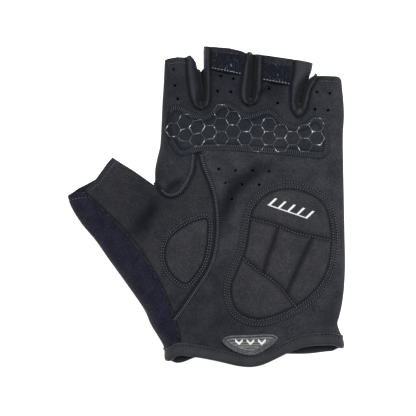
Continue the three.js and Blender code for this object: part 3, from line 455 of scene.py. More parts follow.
def from_outline(points):
    return nearest_on(points, PLAN, closed=True)[0]


def from_side(points, ring):
    """How far inside a closed ring each point is, below 0 outside it."""
    away, _, side = nearest_on(points, ring, closed=True)
    return away * side


def inside_any(points, rings):
    return np.any([inside(points, ring) for ring in rings], axis=0)


def on_strips(points):
    """Whether each point is on a strip between two fingers."""
    return inside_any(points, SLIT_SEAMS.values())


def lift(points):
    """How much higher or lower than a flat tube the palm side lies."""
    x, y = points.T
    across = bell(x / PALM_WIDTH / CROWN_ACROSS)
    along = bell((y / PALM_LENGTH - CROWN_MIDDLE) / CROWN_ALONG)
    past_palm = ease((y - PALM_LENGTH) / FINGER_LENGTH)
    past_thumb = ease((-x - PALM_WIDTH / 2) / THUMB_REACH)
    pressed = np.zeros(len(points))
    for start, end, wide, deep in VALLEYS:
        away = nearest_on(points, on_palm([start, end]))[0]
        pressed += VALLEY_DEPTH * deep * hump(away, VALLEY_WIDTH * wide)
    return PALM_RISE * across * along - TIP_DROP * np.maximum(past_palm, past_thumb) - pressed


def rolled(points):
    """Height of the flat tube's face above its middle."""
    inset = np.clip(SIDE_ROLL - from_outline(points), 0, SIDE_ROLL)
    return SIDE_FLAT / 2 + np.sqrt(SIDE_ROLL ** 2 - inset ** 2)


def surface(points):
    """Height of the cloth's palm side without seams or folds."""
    height = rolled(points)
    return EQUATOR + height + lift(points) * height / EQUATOR


# Relief of the sewn cloth in millimetres. Creases: points (across, along), then depth and width
SEAM_DEPTH = 0.95
SEAM_WIDTH = 0.6
SEAM_PUFF = 0.35
SEAM_PUFF_AT = 2.1
SEAM_PUFF_WIDTH = 1.3
PUCKER_HEIGHT = 0.1
PUCKER_PITCH = 3.4
PUCKER_AT = 1.6
PUCKER_WIDTH = 1.2
CREASES = [
    ([(-0.52, 0.66), (-0.57, 0.58), (-0.67, 0.49)], 2.0, 3.0),
    ([(-0.19, 0.5), (-0.165, 0.58), (-0.1, 0.68), (0.02, 0.75), (0.16, 0.785)], 2.1, 2.8),
    ([(-0.49, 0.662), (-0.44, 0.69), (-0.38, 0.725)], 1.9, 1.5),
    ([(0.125, 1.09), (0.06, 1.06), (0.0, 1.03)], 1.5, 1.2),
    ([(0.2, 1.075), (0.12, 1.085), (0.06, 1.05)], 0.5, 1.2),
    ([(-0.17, 0.4), (-0.2, 0.3), (-0.17, 0.2)], 0.7, 3.0),
    ([(0.46, 0.3), (0.43, 0.24), (0.44, 0.18)], 0.8, 2.4),
    ([(0.47, 0.18), (0.4, 0.17), (0.3, 0.15)], 0.7, 2.0),
    ([(-0.34, 0.14), (-0.3, 0.1), (-0.25, 0.07)], 0.5, 2.2),
    ([(-0.85, 0.66), (-0.78, 0.62), (-0.7, 0.6)], 0.5, 2.2),
    ([(-0.42, 0.92), (-0.44, 0.97), (-0.45, 1.03)], 0.4, 1.8),
]
CREASE_LEFT = 1.25
CREASE_RIGHT = 0.8
CREASE_BANK = 0.35
HEM_WIDTH = 3.4
HEM_RISE = 0.3
HEM_STEP = 0.6
HEM_GROOVE = 0.35
HEM_GROOVE_IN = 0.5
INDEX_HEM = slice(3, 6)
LITTLE_HEM = slice(27, 29)
TUBE_PUFF = 1.5
TUBE_ROUNDNESS = 0.7
FORK_DEPTH = 1.3
FORK_WIDTH = 0.6
FORK_REACH = (2.6, -4.4)
KNOT_HEIGHT = 0.7
KNOT_WIDTH = 1.6
KNOT_BELOW = 3.2
WIDE_WAVE = 0.2
SMALL_WAVE = 0.09
CALM_FRONT_EDGE = 4
CALM_BACK_EDGE = 8
NO_ZERO = 1e-6


def unevenness(points):
    """Low waves that soft cloth shows as it lies."""
    x, y = points.T
    wide = np.sin(x / 9.1 + 0.7 + np.sin(y / 17)) * np.sin(y / 12.3 + 0.4)
    small = np.sin(x / 4.3 + y / 6.1 + 1.9) * np.sin(y / 5.2 - x / 11)
    return WIDE_WAVE * wide + SMALL_WAVE * small


def seam_relief(points, line):
    """A stitched groove with a puffed, slightly gathered strip along both sides."""
    away, place, _ = nearest_on(points, line)
    groove = -SEAM_DEPTH * hump(away, SEAM_WIDTH)
    puff = SEAM_PUFF * hump(away - SEAM_PUFF_AT, SEAM_PUFF_WIDTH)
    gather = np.sin(2 * np.pi * place / PUCKER_PITCH + 2 * np.sin(place / 7))
    return groove + puff + PUCKER_HEIGHT * gather * hump(away - PUCKER_AT, PUCKER_WIDTH)


def faded(place, line, steepness, least):
    """1 in the middle of a line and less towards both its ends."""
    share = place / np.linalg.norm(np.diff(line, axis=0), axis=1).sum()
    return np.clip(steepness * share * (1 - share), least, 1)


def crease_relief(points):
    """Folds pressed into the cloth, each with a low bank on both sides."""
    pressed = np.zeros(len(points))
    for rows, depth, width in CREASES:
        line = spline(on_palm(rows))
        away, place, side = nearest_on(points, line)
        fade = faded(place, line, 4, 0.15)
        sharper = np.where(side > 0, CREASE_LEFT, CREASE_RIGHT)
        pressed += depth * fade * hump(away, width * sharper)
        pressed -= CREASE_BANK * depth * fade * hump(away - 2 * width, width)
    return pressed


def hem_relief(points):
    """Turned-in hems at the index, little finger and thumb openings."""
    raised = np.zeros(len(points))
    tip = on_finger(TIP_LINE)
    for line in (tip[INDEX_HEM], tip[LITTLE_HEM], on_thumb(THUMB_FRONT_OPENING[:6])):
        away = nearest_on(points, line)[0]
        raised += HEM_RISE * ease((HEM_WIDTH - away) / HEM_STEP)
        raised -= HEM_GROOVE * hump(away - HEM_WIDTH + HEM_GROOVE_IN, HEM_GROOVE)
    return raised


def forks_of(slit):
    """The two short folds that spread like a Y below a slit's foot."""
    up, across, _ = slit["rows"][-1]
    foot = on_finger([(across, up)])[0] - (0, SLIT_WIDTH / 2)
    return [np.array([foot, foot + (side * FORK_REACH[0], FORK_REACH[1])]) for side in (-1, 1)]


def across_strip(points, seam):
    """Each point's way from a strip's seam to the slit, from 0 to 1."""
    from_seam = nearest_on(points, seam)[0]
    return from_seam / (from_seam + from_outline(points) + NO_ZERO)


def strip_relief(points):
    """Each strip between two fingers is puffed and pinched in a Y at the slit's foot."""
    raised = np.zeros(len(points))
    for name, slit in SLITS.items():
        within = inside(points, SLIT_SEAMS[name])
        own = points[within]
        if not len(own):
            continue
        share = across_strip(own, SLIT_SEAMS[name])
        raised[within] += TUBE_PUFF * np.sin(np.pi * share) ** TUBE_ROUNDNESS
        for fork in forks_of(slit):
            raised[within] -= FORK_DEPTH * hump(nearest_on(own, fork)[0], FORK_WIDTH)
        foot = forks_of(slit)[0][0]
        below = np.hypot(own[:, 0] - foot[0], own[:, 1] - foot[1] + KNOT_BELOW)
        raised[within] += KNOT_HEIGHT * hump(below, KNOT_WIDTH)
    return raised


def broad_height(points):
    """What a trim laid on the palm lies on: the cloth with its waves and folds."""
    calm = ease(from_outline(points) / CALM_FRONT_EDGE)
    return surface(points) + (unevenness(points) - crease_relief(points)) * calm


def front_height(points):
    """The palm side's outer face with seams, hems and folds."""
    height = broad_height(points) + hem_relief(points) + strip_relief(points)
    for seam in FRONT_SEAMS:
        height += seam_relief(points, seam)
    return height


def back_base(points):
    """The back without seams. It rises a little at the cuff, where the binding passes under it."""
    above = points[:, 1] - np.interp(points[:, 0], *BACK_WRIST.T)
    lifted = CUFF_LIFT * ease((BINDING_WIDTH + CUFF_LIFT_FADE - above) / CUFF_LIFT_FADE)
    return EQUATOR - rolled(points) + lifted


def back_height(points):
    """The back's outer face, which rests on the floor."""
    calm = ease(from_outline(points) / CALM_BACK_EDGE)
    height = back_base(points) + np.clip(unevenness(points + 30), 0, None) * calm
    for seam in BACK_SEAMS:
        height += SEAM_DEPTH * hump(nearest_on(points, seam)[0], SEAM_WIDTH)
    return height


# Painted shade: how far the cloth's colour is darkened, from 0 on open cloth to 1 at the bottom of a seam
# or fold.
# Broad patches of painted shade: place (across, along), reach in millimetres and darkness
BROAD_SHADES = [
    (-0.42, 1.1, 22, 0.3), (-0.14, 1.13, 24, 0.42), (0.14, 1.09, 20, 0.28), (-0.48, 0.72, 16, 0.15),
    (-0.2, 0.14, 26, 0.3), (-0.62, 0.6, 22, 0.22), (-0.3, 0.2, 16, 0.12), (0.35, 0.12, 16, 0.15),
    (-0.23, 1.0, 14, 0.2), (0.04, 1.0, 14, 0.2),
]
SEAM_SHADE = 0.95
SEAM_SHADE_WIDTH = 0.6
SLIT_SHADE = 0.9
SLIT_SHADES = [(SLIT_SHADE, 1.7), (0.95, 0.9)]
SIDE_SHADE = 0.4
SIDE_SHADE_WIDTH = 0.9
TUBE_SHADE = 0.5
TUBE_SHADE_SHAPE = 1.5
FORK_SHADE = 0.95
FORK_SHADE_WIDTH = 0.65
CREASE_SHADE = 0.36
CREASE_SHADE_WIDTH = 1.15
ROW_SHADE = 0.8
ROW_OUT = 1.5


def combined(parts):
    """Several shades on one place, each darkening what the others leave."""
    clear = np.ones(len(parts[0]))
    for part in parts:
        clear *= 1 - np.clip(part, 0, 1)
    return 1 - clear


def line_shade(points, line, width):
    return hump(nearest_on(points, line)[0], width)


# Painted shade in broad patches and along the creases
def broad_shade(points):
    parts = []
    for across, along, reach, darkness in BROAD_SHADES:
        middle = on_palm([(across, along)])[0]
        parts.append(darkness * np.exp(-((points - middle) ** 2).sum(1) / reach ** 2))
    for rows, depth, width in CREASES:
        line = spline(on_palm(rows))
        away, place, _ = nearest_on(points, line)
        fade = faded(place, line, 5, 0.1)
        parts.append(CREASE_SHADE * depth * fade * hump(away, CREASE_SHADE_WIDTH * width))
    return combined(parts)


def strip_shade(points, name):
    """Painted shade: dark at a strip's slit, at its seam and in the Y at the slit's foot, and darker
    towards both sides of the puffed strip.
    """
    within = inside(points, SLIT_SEAMS[name])
    own = points[within]
    edge = from_outline(own)
    parts = [darkness * hump(edge, width) for darkness, width in SLIT_SHADES]
    share = across_strip(own, SLIT_SEAMS[name])
    parts.append(TUBE_SHADE * (1 - np.sin(np.pi * share) ** TUBE_SHADE_SHAPE))
    for fork in forks_of(SLITS[name]):
        parts.append(FORK_SHADE * line_shade(own, fork, FORK_SHADE_WIDTH))
    shade = np.zeros(len(points))
    shade[within] = combined(parts)
    return shade


# Painted shade of the palm side: broad patches, its outline, the seams, the row beside the thumb seam and
# the strips
def front_shade(points):
    parts = [broad_shade(points), SIDE_SHADE * hump(from_outline(points), SIDE_SHADE_WIDTH)]
    parts += [SEAM_SHADE * line_shade(points, seam, SEAM_SHADE_WIDTH) for seam in FRONT_SEAMS]
    parts.append(ROW_SHADE * line_shade(points, shifted(SEAM_OF_THUMB, ROW_OUT), 1.0))
    parts += [strip_shade(points, name) for name in SLITS]
    return combined(parts)


# Painted shade in the back's seams
def back_shade(points):
    return combined([SEAM_SHADE * line_shade(points, seam, SEAM_SHADE_WIDTH) for seam in BACK_SEAMS])


def tree_of(points):
    tree = KDTree(len(points))
    for index, (x, y) in enumerate(points):
        tree.insert((x, y, 0), index)
    tree.balance()
    return tree


def clear_of(points, tree, gap):
    """The points that are farther than the gap from those in the tree."""
    return np.array([point for point in points if tree.find((*point, 0))[2] > gap]).reshape(-1, 2)


def staggered(low, high, step):
    """Points in staggered rows over a rectangle."""
    rows = []
    for row, y in enumerate(np.arange(low[1], high[1], step * math.sqrt(0.75))):
        across = np.arange(low[0] + row % 2 * step / 2, high[0], step)
        rows.append(np.column_stack([across, np.full(len(across), y)]))
    return np.vstack(rows)


def triangulated(lines, loose):
    """Triangles over loose points and constraint lines, each line given as (points, closed)."""
    points, edges = [], []
    for line, closed in lines:
        first = len(points)
        points.extend(map(tuple, line))
        pairs = [(first + index, first + index + 1) for index in range(len(line) - 1)]
        if closed:
            pairs.append((first + len(line) - 1, first))
        edges.extend(pairs)
    points.extend(map(tuple, loose))
    vertices, _, faces, *_ = delaunay_2d_cdt([Vector(point) for point in points], edges, [], 0, 1e-5)
    return np.array([tuple(point) for point in vertices]), np.array([tuple(face) for face in faces])


def circle(centre, radius, sides=14):
    angles = np.linspace(0, 2 * np.pi, sides, endpoint=False)
    return np.asarray(centre) + radius * np.column_stack([np.cos(angles), np.sin(angles)])


def past_tips():
    line = on_finger(TIP_LINE)
    far = FINGER_END + CUT_SPARE
    return np.vstack([line, [(line[-1][0], far), (line[0][0], far)]])


def past_thumb(opening):
    line = on_thumb(opening)
    mouth = line[0] - line[-1]
    outward = np.array([-mouth[1], mouth[0]]) * 2 * CUT_SPARE / np.linalg.norm(mouth)
    return np.vstack([line, [line[-1] + outward, line[0] + outward]])


FAR = 3 * CUT_SPARE
FAR_LEFT = -PALM_WIDTH / 2 - THUMB_REACH - FAR
CLOTH_FOOT = 1.5


def below_wrist(line):
    """Region under the cuff's edge: the cloth ends inside the binding's fold."""
    raised = line + (0, CLOTH_FOOT)
    return np.vstack([raised, [(raised[-1][0], -FAR), (raised[0][0], -FAR)]])


def left_region(seam, top):
    """Region to the left of a seam that runs down to the wrist."""
    return np.vstack([seam, [(FAR_LEFT, -FAR), (FAR_LEFT, top), (seam[0][0], top)]])


HOLES = [circle(centre, HOLE_DIAMETER / 2) for centre in (*on_palm(PALM_HOLES), *on_finger(FINGER_HOLES))]
ALL_SEAMS = (*FRONT_SEAMS, SEAM_OF_BACK)
RAIL_PLACES = (0.35, 0.8, 1.4, 2.1)
ROLL_TURNS = np.radians(np.arange(12, 91, 11))


def net_lines():
    """Every line that the net's edges follow, as (points, closed)."""
    return [
        (PLAN_DENSE, True),
        (stepped(on_finger(TIP_LINE)), False),
        (stepped(on_thumb(THUMB_FRONT_OPENING)), False),
        (stepped(on_thumb(THUMB_BACK_OPENING)), False),
        (FRONT_WRIST + (0, CLOTH_FOOT), False),
        (BACK_WRIST + (0, CLOTH_FOOT), False),
        *[(seam, False) for seam in ALL_SEAMS],
        *[(hole, True) for hole in HOLES],
    ]


def roll_rings():
    """Points on rings that run round the rolled side of the cloth."""
    tree = tree_of(PLAN_DENSE)
    rings = []
    for inset in SIDE_ROLL * (1 - np.cos(ROLL_TURNS)):
        rings.append(clear_of(shifted(PLAN_DENSE, inset, closed=True), tree, 0.93 * inset))
    return np.vstack(rings)


def cloth_net():
    """One fine net of triangles over the plan, with points along every seam and edge."""
    lines = net_lines()
    fixed = tree_of(np.vstack([resampled(line, 0.5, closed) for line, closed in lines]))
    rails = [shifted(seam, side * away) for seam in ALL_SEAMS for away in RAIL_PLACES for side in (-1, 1)]
    rails = clear_of(np.vstack(rails), fixed, 0.35)
    rings = clear_of(clear_of(roll_rings(), fixed, 0.25), tree_of(rails), 0.4)
    sewn = tree_of(np.vstack([rails, rings]))
    fine = staggered(on_palm([(-0.5, 0.9)])[0], PLAN.max(0), FINE_STEP)
    fine = clear_of(clear_of(fine[on_strips(fine)], sewn, 0.6 * FINE_STEP), fixed, 0.5 * FINE_STEP)
    grid = staggered(PLAN.min(0), PLAN.max(0), CLOTH_STEP)
    grid = clear_of(clear_of(grid, tree_of(fine), 0.8 * CLOTH_STEP), sewn, 0.6 * CLOTH_STEP)
    grid = clear_of(grid, fixed, 0.5 * CLOTH_STEP)
    loose = np.vstack([rails, rings, fine, grid])
    points, triangles = triangulated(lines, loose[inside(loose, PLAN)])
    middles = points[triangles].mean(1)
    kept = inside(middles, PLAN)
    return points, triangles[kept], middles[kept]


def owners(middles):
    """The piece that each triangle of the net belongs to, on the palm side and on the back."""
    strip = inside(middles, left_region(SEAM_OF_STRIP, SEAM_OF_STRIP[0][1]))
    front = np.full(len(middles), "palm_panel", dtype=object)
    front[inside(middles, left_region(SEAM_OF_THUMB, PALM_LENGTH))] = "thumb_panel"
    front[strip] = "thumb_side_panel"
    back = np.full(len(middles), "back_panel", dtype=object)
    back[inside(middles, left_region(SEAM_OF_BACK, PALM_LENGTH)) | strip] = "thumb_side_panel"
    for name, seam in SLIT_SEAMS.items():
        between = inside(middles, seam)
        front[between] = back[between] = f"{name}_fourchette"
    front[(front == "palm_panel") & inside_any(middles, HOLES)] = ""
    front_ends = [past_tips(), past_thumb(THUMB_FRONT_OPENING), below_wrist(FRONT_WRIST)]
    back_ends = [past_tips(), past_thumb(THUMB_BACK_OPENING), below_wrist(BACK_WRIST)]
    front[inside_any(middles, front_ends)] = ""
    back[inside_any(middles, back_ends)] = ""
    return front, back


def outer_edges(triangles):
    """Edges with one triangle beside them, as (from, to, triangle), with the inside to the left."""
    found = {}
    for row, (a, b, c) in enumerate(triangles):
        for start, end in ((a, b), (b, c), (c, a)):
            if (end, start) in found:
                del found[end, start]
            else:
                found[start, end] = row
    return [(start, end, row) for (start, end), row in found.items()]


def mesh_object(name, vertices, faces, material, node=None, shade=None):
    """A smooth piece that rides on the glove. Vertices come in millimetres of the plan."""
    mesh = bpy.data.meshes.new(name)
    placed = (np.asarray(vertices, float) + (*FRAME_SHIFT, 0)) * METRES
    mesh.from_pydata(placed.tolist(), [], [list(face) for face in faces])
    mesh.polygons.foreach_set("use_smooth", np.ones(len(mesh.polygons), bool))
    mesh.materials.append(material)
    # Painted shade: how far each vertex's colour is darkened in seams, folds and other shaded places
    if shade is not None:
        painted_shade = mesh.attributes.new("painted_shade", "FLOAT", "POINT")
        painted_shade.data.foreach_set("value", shade.astype(np.float32))
    mesh.update()
    piece = bpy.data.objects.new(name, mesh)
    bpy.context.scene.collection.objects.link(piece)
    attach(piece, "root")
    if node:
        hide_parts(node)
    return piece


def compacted(faces):
    """The vertices that the faces use, and the faces counted over those alone."""
    used = sorted({int(corner) for face in faces for corner in face})
    order = {corner: index for index, corner in enumerate(used)}
    return used, [[order[int(corner)] for corner in face] for face in faces]


# The cloth's edges are turned in at the sides by SEAM_TURN, and fold over at SEAM_EDGE above the middle
SEAM_TURN = 0.45
SEAM_EDGE = 0.55

# How far up each slit its two walls touch, as a share of the finger
WALLS_TOUCH = {"index_middle": 0.64, "middle_ring": 0.93, "ring_little": 0.52}
WALLS_FADE = 0.06
WALL_NEAR = 2.3
WALL_PRESS = 0.04


def pushed_walls(points, inward):
    """Where the walls of a slit bulge to its middle line, so that they touch."""
    pushed = points.copy()
    for name, slit in SLITS.items():
        rows = np.array(slit["rows"], float)
        middle = on_finger(rows[:, [1, 0]])
        middle = spline(np.vstack([(middle[0][0], FINGER_END), middle]))
        away = nearest_on(points, middle)[0]
        level = (points[:, 1] - PALM_LENGTH) / FINGER_LENGTH
        reach = np.where(away < WALL_NEAR, away + WALL_PRESS, 0)
        reach *= ease((WALLS_TOUCH[name] - level) / WALLS_FADE)
        pushed -= inward * reach[:, None]
    return pushed


def inward_at(points, edges):
    """The unit direction into the cloth at the net's outer points, and none elsewhere."""
    inward = np.zeros_like(points)
    for start, end, _ in edges:
        along = points[end] - points[start]
        inward[[start, end]] += np.array([-along[1], along[0]]) / np.linalg.norm(along)
    return inward / np.maximum(np.linalg.norm(inward, axis=1), 1e-9)[:, None]


def side_faces(edges, front, back, count):
    """Each piece's faces down the sides: (piece, corners) over the layers of cloth_layers."""
    top, bottom, middle, over, under, tucked = (np.arange(6) * count).tolist()
    for start, end, row in edges:
        shared = front[row] == back[row]
        stacks = [
            (front[row], [top, middle] if shared else [top, over, tucked]),
            (back[row], [bottom, middle] if shared else [bottom, under, tucked]),
        ]
        for turn, (owner, stack) in enumerate(stacks):
            for high, low in zip(stack, stack[1:]):
                quad = [start + low, end + low, end + high, start + high]
                if owner:
                    yield owner, quad[::-1] if turn else quad


def cloth_layers(points, edges):
    """The net's points at the palm's height, the back's height and four levels of the sides."""
    inward = inward_at(points, edges)
    level = np.full(len(points), float(EQUATOR))
    layers = [
        (points, front_height(points)),
        (points, back_height(points)),
        (pushed_walls(points, inward), level),
        (points, level + SEAM_EDGE),
        (points, level - SEAM_EDGE),
        (points + inward * SEAM_TURN, level),
    ]
    # Painted shade on the sides: dark in the slits, lighter at the outer edges
    wall_shade = np.where(on_strips(points), SLIT_SHADE, SIDE_SHADE)
    shades = [front_shade(points), back_shade(points), *[wall_shade] * 4]
    return np.vstack([np.column_stack(layer) for layer in layers]), np.concatenate(shades)


def cloth_pieces(materials):
    """Every panel and strip as a sheet with the cloth's thickness inwards."""
    points, triangles, middles = cloth_net()
    front, back = owners(middles)
    edges = outer_edges(triangles)
    vertices, shades = cloth_layers(points, edges)
    faces = {}
    for row, corners in enumerate(triangles.tolist()):
        if front[row]:
            faces.setdefault(front[row], []).append(corners)
        if back[row]:
            faces.setdefault(back[row], []).append([corner + len(points) for corner in corners[::-1]])
    for owner, quad in side_faces(edges, front, back, len(points)):
        faces[owner].append(quad)
    for name, own in faces.items():
        used, own_faces = compacted(own)
        material, slot = materials[name]
        piece = mesh_object(f"{name}_cloth", vertices[used], own_faces, material, name, shades[used])
        thicken = piece.modifiers.new("cloth thickness", "SOLIDIFY")
        thicken.thickness = CLOTH_THICKNESS * METRES
        thicken.offset = -1


# Pads and trims that lie on the palm
def pad_net(ring, lines=(), step=PAD_STEP, rails=(0.25, 0.6, 1.1, 1.8, 2.6)):
    """A fine net inside a closed ring, with points along its edge and along given lines."""
    constraints = [(ring, True)]
    tree = tree_of(ring)
    inner = [clear_of(shifted(ring, away, closed=True), tree, 0.9 * away) for away in rails]
    along = [shifted(line, side * away) for line in lines for away in (0, 0.45, 1.0) for side in (-1, 1)]
    near = np.vstack([*inner, *along])
    near = clear_of(near[inside(near, ring)], tree, 0.2)
    grid = staggered(ring.min(0), ring.max(0), step)
    grid = clear_of(grid[inside(grid, ring)], tree_of(np.vstack([near, ring])), 0.6 * step)
    points, triangles = triangulated(constraints, np.vstack([near, grid]))
    kept = inside(points[triangles].mean(1), ring)
    return points, triangles[kept]


def closed_over(points, triangles, top, bottom):
    """Vertices and faces of a closed piece between two heights over the same net."""
    count = len(points)
    vertices = np.vstack([np.column_stack([points, top]), np.column_stack([points, bottom])])
    faces = triangles.tolist()
    faces += [[corner + count for corner in face[::-1]] for face in triangles.tolist()]
    for start, end, _ in outer_edges(triangles):
        faces.append([start + count, end + count, end, start])
    return vertices, faces


def anticlockwise(ring):
    x, y = ring.T
    turn = (x * np.roll(y, -1) - np.roll(x, -1) * y).sum()
    return ring if turn > 0 else ring[::-1]


def ring_of(rows, step=LINE_STEP):
    return anticlockwise(spline(on_palm(rows), step, closed=True))


def rounded(away, radius):
    """A quarter turn from 0 at the edge to 1 at the radius."""
    share = 1 - np.clip(away / radius, 0, 1)
    return np.sqrt(1 - share ** 2)


# The knuckle pad's border and field, in millimetres from its edge or above the cloth
KNUCKLE_LIFT = 0.2
KNUCKLE_EDGE = 0.3
KNUCKLE_ROUND = 3.4
# Painted shade in a band under the border stitching and in the field's fold
BORDER_SHADE = 0.45
BORDER_MIDDLE = 1.7
BORDER_WIDTH = 1.9
FIELD_FOLD_AT = 3.7
FIELD_FOLD_WIDTH = 0.5
FIELD_FOLD_DEPTH = 0.22
FIELD_FOLD_SHADE = 0.5
FIELD_FROM = 3.6
FIELD_ROUND = 2.5
FIELD_PUFF = 0.18


def trim_ground(points):
    """The underside of a trim that lies over the cloth."""
    return broad_height(points) + SEAM_GAP / 2


def knuckle_surface(points):
    """The knuckle pad's top. It thins out under the border stitching."""
    away = np.clip(from_side(points, ring_of(KNUCKLE_PAD_EDGE)), 0, None)
    field = away - FIELD_FROM
    puffed = FIELD_PUFF * rounded(field, FIELD_ROUND) * ease(field / FIELD_FOLD_WIDTH)
    quilted = puffed - FIELD_FOLD_DEPTH * hump(away - FIELD_FOLD_AT, FIELD_FOLD_WIDTH)
    thin = rounded(away, KNUCKLE_ROUND)
    return trim_ground(points) + KNUCKLE_LIFT + (KNUCKLE_PAD_THICKNESS - KNUCKLE_EDGE) * thin + quilted


def knuckle_pad(material):
    ring = ring_of(KNUCKLE_PAD_EDGE)
    points, triangles = pad_net(ring)
    vertices, faces = closed_over(points, triangles, knuckle_surface(points), trim_ground(points))
    # Painted shade: broad patches, a band under the border stitching and the field's fold
    away = nearest_on(points, ring, closed=True)[0]
    border = BORDER_SHADE * np.exp(-((away - BORDER_MIDDLE) / BORDER_WIDTH) ** 4)
    fold = FIELD_FOLD_SHADE * hump(away - FIELD_FOLD_AT, FIELD_FOLD_WIDTH)
    shade = np.tile(combined([broad_shade(points), border, fold]), 2)
    return mesh_object(
        "knuckle_pad_cloth", vertices, faces, material, "knuckle_pad", shade)


# The crowned pads in millimetres, and the painted shade at their edges, stitch rows and channels
FLANGE_GROOVE = 0.18
FLANGE_GROOVE_OUT = 0.5
FLANGE_GROOVE_WIDTH = 0.6
CROWN_ROUND = 2.6
CROWN_SWELL = 12
CROWN_SWELL_SHARE = 0.1
PAD_EDGE = 0.12
PAD_EDGE_ROUND = 0.7
PAD_EDGE_SHARE = 0.25
FOOT_SHADE = 0.95
FOOT_SHADE_AT = 0.1
FOOT_SHADE_WIDTH = 0.42
PAD_ROW_WIDTH = 0.6
CHANNEL_SHADE = 0.7


def channel_depth(points, channels):
    """How far a crowned pad is pulled down at its sewn channels, from 0 to 1."""
    pulled = np.zeros(len(points))
    for line in channels:
        pulled = np.maximum(pulled, line_shade(points, line, 0.75 * CHANNEL_WIDTH))
    return pulled


def crown_height(points, body, channels, height):
    """Height of a crowned pad above the cloth: a thin stitched flange round puffed fields."""
    away = from_side(points, body)
    over = np.clip(away, 0, None)
    flange = FLANGE_THICKNESS - FLANGE_GROOVE * hump(away + FLANGE_GROOVE_OUT, FLANGE_GROOVE_WIDTH)
    swell = 1 - CROWN_SWELL_SHARE + CROWN_SWELL_SHARE * rounded(over, CROWN_SWELL)
    crown = flange + (height - FLANGE_THICKNESS) * (rounded(over, CROWN_ROUND) * swell)
    return crown - (crown - CHANNEL_FLOOR) * np.where(away > 0, channel_depth(points, channels), 0)


def crowned_pad(name, rows, height, flange_width, channels, row_places, material):
    body = ring_of(rows)
    ring = resampled(shifted(body, -flange_width, closed=True), LINE_STEP, closed=True)
    points, triangles = pad_net(ring, [body, *channels], rails=np.arange(0.3, flange_width, 0.45))
    ground = trim_ground(points)
    edge = rounded(nearest_on(points, ring, closed=True)[0], PAD_EDGE_ROUND)
    crown = crown_height(points, body, channels, height) - PAD_EDGE
    top = ground + PAD_EDGE + crown * (PAD_EDGE_SHARE + (1 - PAD_EDGE_SHARE) * edge)
    vertices, faces = closed_over(points, triangles, top, ground)
    # Painted shade: broad patches, the foot of the crown, the stitch rows and the sewn channels
    away = from_side(points, body)
    parts = [broad_shade(points), FOOT_SHADE * hump(away - FOOT_SHADE_AT, FOOT_SHADE_WIDTH)]
    parts += [ROW_SHADE * hump(away + place, PAD_ROW_WIDTH) for place in row_places]
    parts += [CHANNEL_SHADE * line_shade(points, line, 1.0) * (away > 0) for line in channels]
    shade = np.tile(combined(parts), 2)
    return mesh_object(f"{name}_cover", vertices, faces, material, name, shade)


def heel_channels():
    return [spline(on_palm(rows)) for rows in HEEL_CHANNELS]


def heel_height(points):
    crown = crown_height(points, ring_of(HEEL_PAD_EDGE), heel_channels(), HEEL_PAD_HEIGHT)
    return trim_ground(points) + crown


def thumb_pad_height(points):
    return trim_ground(points) + crown_height(points, ring_of(THUMB_PAD_EDGE), [], THUMB_PAD_HEIGHT)


def tube_faces(count, sides, closed):
    """Faces between rings of points that follow one another."""
    for row in range(count if closed else count - 1):
        after = (row + 1) % count
        for side in range(sides):
            beside = (side + 1) % sides
            yield [row * sides + side, row * sides + beside, after * sides + beside, after * sides + side]


def swept(path, section):
    """A section of (sideways, up) points carried along a path. Its ends are closed."""
    along = np.gradient(path, axis=0)
    along /= np.linalg.norm(along, axis=1)[:, None]
    sideways = np.cross(along, (0.0, 0, 1))
    sideways /= np.maximum(np.linalg.norm(sideways, axis=1), 1e-9)[:, None]
    risen = np.cross(sideways, along)
    placed = path[:, None] + section[..., :1] * sideways[:, None] + section[..., 1:] * risen[:, None]
    count, sides = placed.shape[:2]
    faces = list(tube_faces(count, sides, closed=False))
    faces.append(list(range(sides))[::-1])
    faces.append([(count - 1) * sides + side for side in range(sides)])
    return placed.reshape(-1, 3), faces


def joined(parts):
    """One list of vertices and faces from several."""
    vertices, faces, first = [], [], 0
    for own_vertices, own_faces in parts:
        vertices.append(own_vertices)
        faces.extend([[corner + first for corner in face] for face in own_faces])
        first += len(own_vertices)
    return np.vstack(vertices), faces


STITCH_SIDES = 5
STITCH_SHARES = np.array([0, 0.18, 0.5, 0.82, 1])
STITCH_SWELL = np.array([0.25, 0.85, 1, 0.85, 0.25])
STITCH_ARCH = np.array([-0.8, 0.35, 0.75, 0.35, -0.8])


def stitches(starts, ends, height_at, radius, rise):
    """A short arched thread from each start to each end, over the cloth at a given height."""
    starts, ends = np.asarray(starts, float), np.asarray(ends, float)
    ground = np.column_stack([height_at(starts), height_at(ends)])
    angles = np.linspace(0, 2 * np.pi, STITCH_SIDES, endpoint=False)
    along = ends - starts
    along /= np.maximum(np.linalg.norm(along, axis=1), 1e-9)[:, None]
    sideways = np.column_stack([along[:, 1], -along[:, 0]])
    rings = []
    for share, swell, arch in zip(STITCH_SHARES, STITCH_SWELL, STITCH_ARCH):
        place = starts + (ends - starts) * share
        height = ground[:, 0] + (ground[:, 1] - ground[:, 0]) * share + rise + arch * radius
        reach = radius * swell
        plan = place[:, None] + sideways[:, None] * (reach * np.cos(angles))[None, :, None]
        up = height[:, None] + reach * np.sin(angles)[None]
        rings.append(np.dstack([plan, up]))
    vertices = np.stack(rings, axis=1).reshape(-1, 3)
    rows = len(STITCH_SHARES)
    pattern = np.array([[a, d, c, b] for a, b, c, d in tube_faces(rows, STITCH_SIDES, closed=False)])
    offsets = np.arange(len(starts)) * rows * STITCH_SIDES
    faces = (pattern[None] + offsets[:, None, None]).reshape(-1, 4)
    return vertices, faces.tolist()


def stitch_row(line, row, closed=False):
    """Starts and ends of single stitches along a line. Row: (pitch, stitch length, turn in radians)."""
    pitch, length, turn = row
    dense = resampled(line, pitch, closed)
    left = left_of(dense, closed)
    along = np.column_stack([left[:, 1], -left[:, 0]])
    lean = along * math.cos(turn) + left * math.sin(turn)
    return dense - lean * length / 2, dense + lean * length / 2


# The folded binding round the cuff
CUFF_PLACES = 150
CUFF_LEVELS = np.arange(-0.5, BINDING_WIDTH + 1.6, 1)


